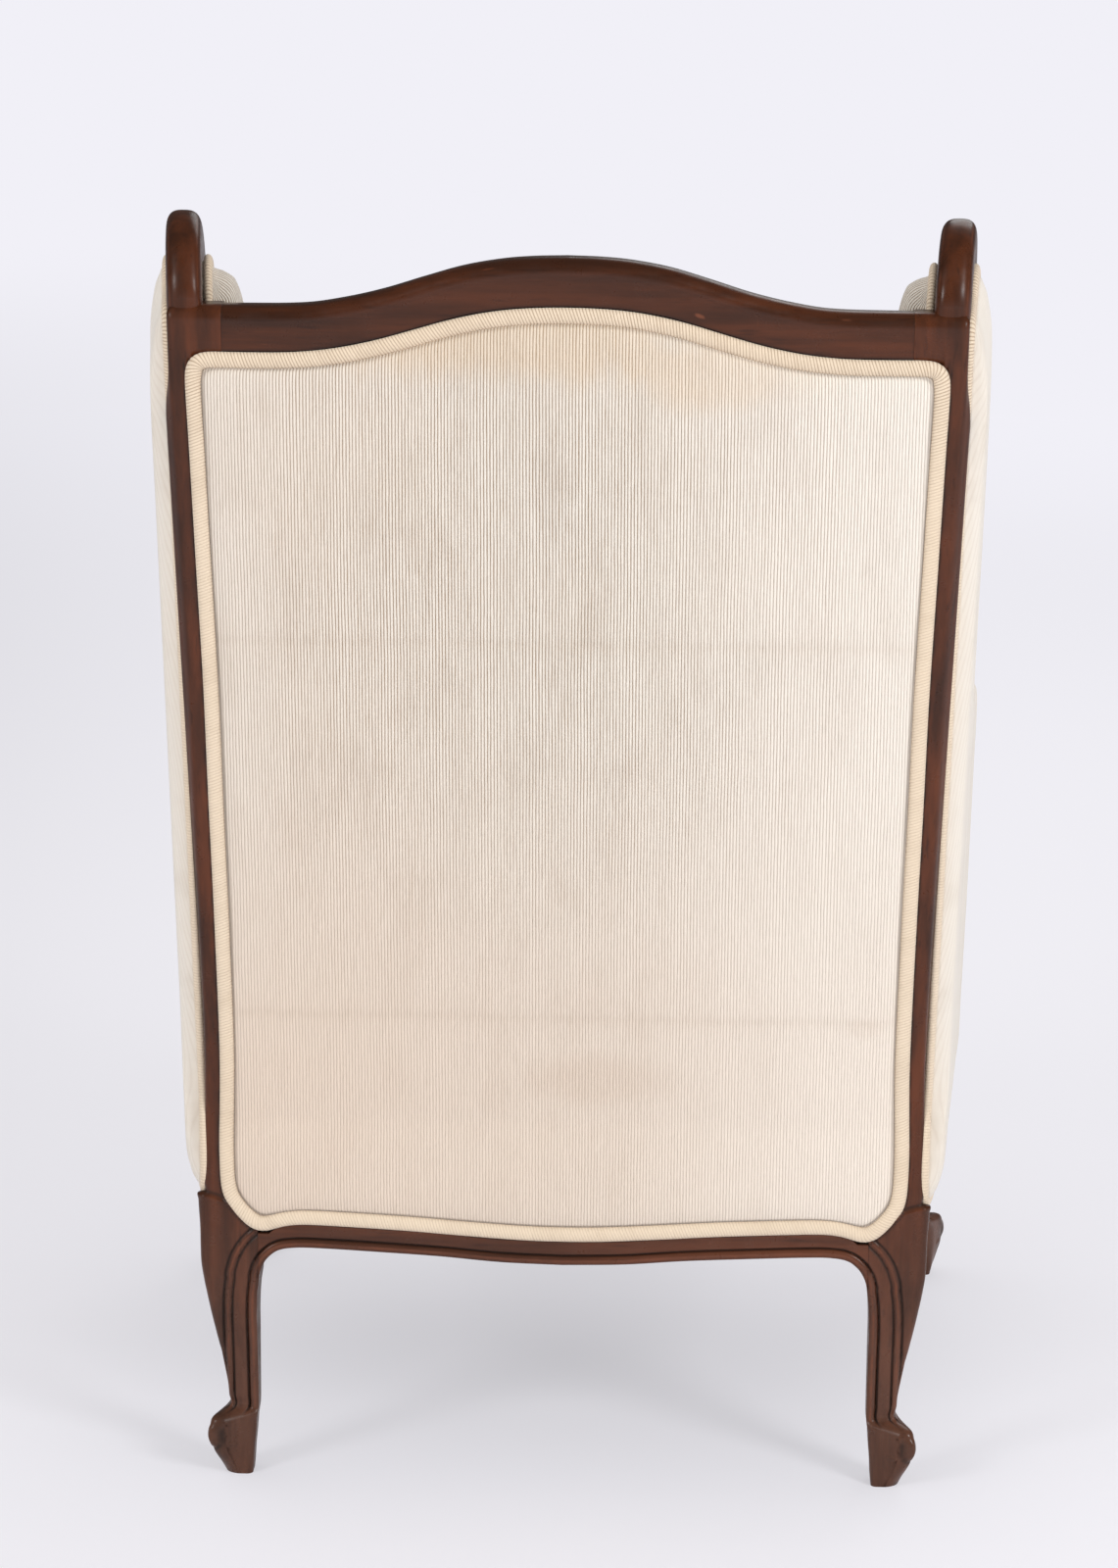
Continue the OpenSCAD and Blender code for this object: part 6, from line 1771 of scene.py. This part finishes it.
class ARMCHAIR_OT_stage(ArmchairMaker):
    """Floor, soft lamps, pale surroundings and the camera"""
    bl_idname, bl_label = "armchair.stage", "Floor, lamps and camera"

    def execute(self, context):
        settings = context.scene.armchair_stage
        w = np.linspace(0, 2 * np.pi, 64, endpoint=False)
        radii = np.array([0.05, 0.4, 1.0, 2.0, 4.0, 8.0, 16.0, 40.0, 60.0]) / MM
        top = place(radii[:, None] * np.cos(w), radii[:, None] * np.sin(w), 0)
        under = place(radii[::-1, None] * np.cos(w), radii[::-1, None] * np.sin(w), -20.0)
        floor = skin("studio_floor", np.concatenate([top, under]))
        paper = paper_floor("studio_paper", tuple(settings.floor), tuple(settings.backdrop), settings.glow)
        floor.data.materials.append(paper)
        floor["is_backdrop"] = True
        for name, (at, size, source, share) in LAMPS.items():
            self.lamp(name, at, size, getattr(settings, source) * share)
        self.surroundings(settings)
        self.camera()
        return {"FINISHED"}

    def lamp(self, name, at, size, power):
        """A round soft lamp, turned to the middle of the chair."""
        light = bpy.data.lights.new(name, "AREA")
        light.shape, light.size, light.energy = "DISK", size, power
        obj = bpy.data.objects.new(name, light)
        bpy.context.scene.collection.objects.link(obj)
        obj.location = at
        aim = LAMPS_AIM - Vector(at)
        obj.rotation_euler = aim.to_track_quat("-Z", "Y").to_euler()

    def surroundings(self, settings):
        """World: an even light, weaker in gloss, and the backdrop's own colour where the camera looks at
        it."""
        world = bpy.data.worlds.new("studio_air")
        bpy.context.scene.world = world
        p = Paint(world)
        ray = lambda which: p.node("ShaderNodeLightPath", out=which)
        seen = ray("Is Camera Ray").math("MAXIMUM", ray("Is Transmission Ray"))
        strength = p.node("ShaderNodeMapRange", inputs={"Value": ray("Is Glossy Ray"), "To Min": settings.sky,
                                                        "To Max": settings.sky * settings.gloss})
        air = p.node("ShaderNodeBackground", inputs={"Color": AIR_COLOUR, "Strength": strength})
        view = p.node("ShaderNodeBackground", inputs={"Color": (*settings.backdrop, 1), "Strength": 1.0})
        p.surface("ShaderNodeOutputWorld", p.node("ShaderNodeMixShader", inputs={0: seen, 1: air, 2: view}))

    def camera(self):
        """The camera's measured place: standing behind the chair, a little to the sitter's right."""
        yaw, pitch, roll = (math.radians(v) for v in (CAMERA.yaw, CAMERA.pitch, CAMERA.roll))
        ahead = Vector((math.sin(yaw) * math.cos(pitch), -math.cos(yaw) * math.cos(pitch), -math.sin(pitch)))
        right = ahead.cross(Vector((0, 0, 1))).normalized()
        up = right.cross(ahead)
        across = math.cos(roll) * right + math.sin(roll) * up
        upright = -math.sin(roll) * right + math.cos(roll) * up
        lens = bpy.data.cameras.new("photo_camera")
        lens.lens, lens.sensor_width, lens.sensor_fit = CAMERA.lens, CAMERA.sensor, "AUTO"
        lens.clip_end = CAMERA.reach
        camera = bpy.data.objects.new("photo_camera", lens)
        bpy.context.scene.collection.objects.link(camera)
        turn = Matrix((across, upright, -ahead)).transposed().to_4x4()
        camera.matrix_world = Matrix.Translation(Vector(CAMERA.at)) @ turn
        bpy.context.scene.camera = camera
        bpy.context.scene.view_settings.view_transform = "Standard"


PIECES = (ARMCHAIR_OT_stage, ARMCHAIR_OT_frame_parts, ARMCHAIR_OT_rear_posts, ARMCHAIR_OT_front_legs,
          ARMCHAIR_OT_seat_rails, ARMCHAIR_OT_crest, ARMCHAIR_OT_side_frames, ARMCHAIR_OT_outside_back,
          ARMCHAIR_OT_outside_sides, ARMCHAIR_OT_inside_back, ARMCHAIR_OT_inside_sides, ARMCHAIR_OT_arm_rests,
          ARMCHAIR_OT_seat_cushion, ARMCHAIR_OT_hidden_layers)


class ARMCHAIR_PT_panel(bpy.types.Panel):
    """The armchair's settings, and a button for each group of its pieces"""
    bl_idname, bl_label = "ARMCHAIR_PT_panel", "Bergere armchair"
    bl_space_type, bl_region_type, bl_category = "VIEW_3D", "UI", "Armchair"

    def draw(self, context):
        """Lists each group's settings and each operator's button."""
        for key in GROUPS:
            group = getattr(context.scene, key)
            box = self.layout.box()
            for name in group.__annotations__:
                box.prop(group, name)
        for piece in PIECES:
            self.layout.operator(piece.bl_idname)


GROUPS = {"armchair_cloth": ArmchairCloth, "armchair_wood": ArmchairWood, "armchair_stage": ArmchairStage}


def register():
    """Registers the settings, the operators and the panel."""
    for cls in (*GROUPS.values(), *PIECES, ARMCHAIR_PT_panel):
        bpy.utils.register_class(cls)
    for key, cls in GROUPS.items():
        setattr(bpy.types.Scene, key, PointerProperty(type=cls))


def unregister():
    """Takes them away again."""
    for key in GROUPS:
        delattr(bpy.types.Scene, key)
    for cls in (*GROUPS.values(), *PIECES, ARMCHAIR_PT_panel):
        bpy.utils.unregister_class(cls)


def main():
    """Makes every piece in order."""
    register()
    for piece in PIECES:
        group, name = piece.bl_idname.split(".")
        getattr(getattr(bpy.ops, group), name)()
    plain = lambda box: [[float(v) for v in corner] for corner in box]
    {"cad": plain(CAD_BOX), "visual": plain(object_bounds())}


if __name__ == "__main__":
    main()
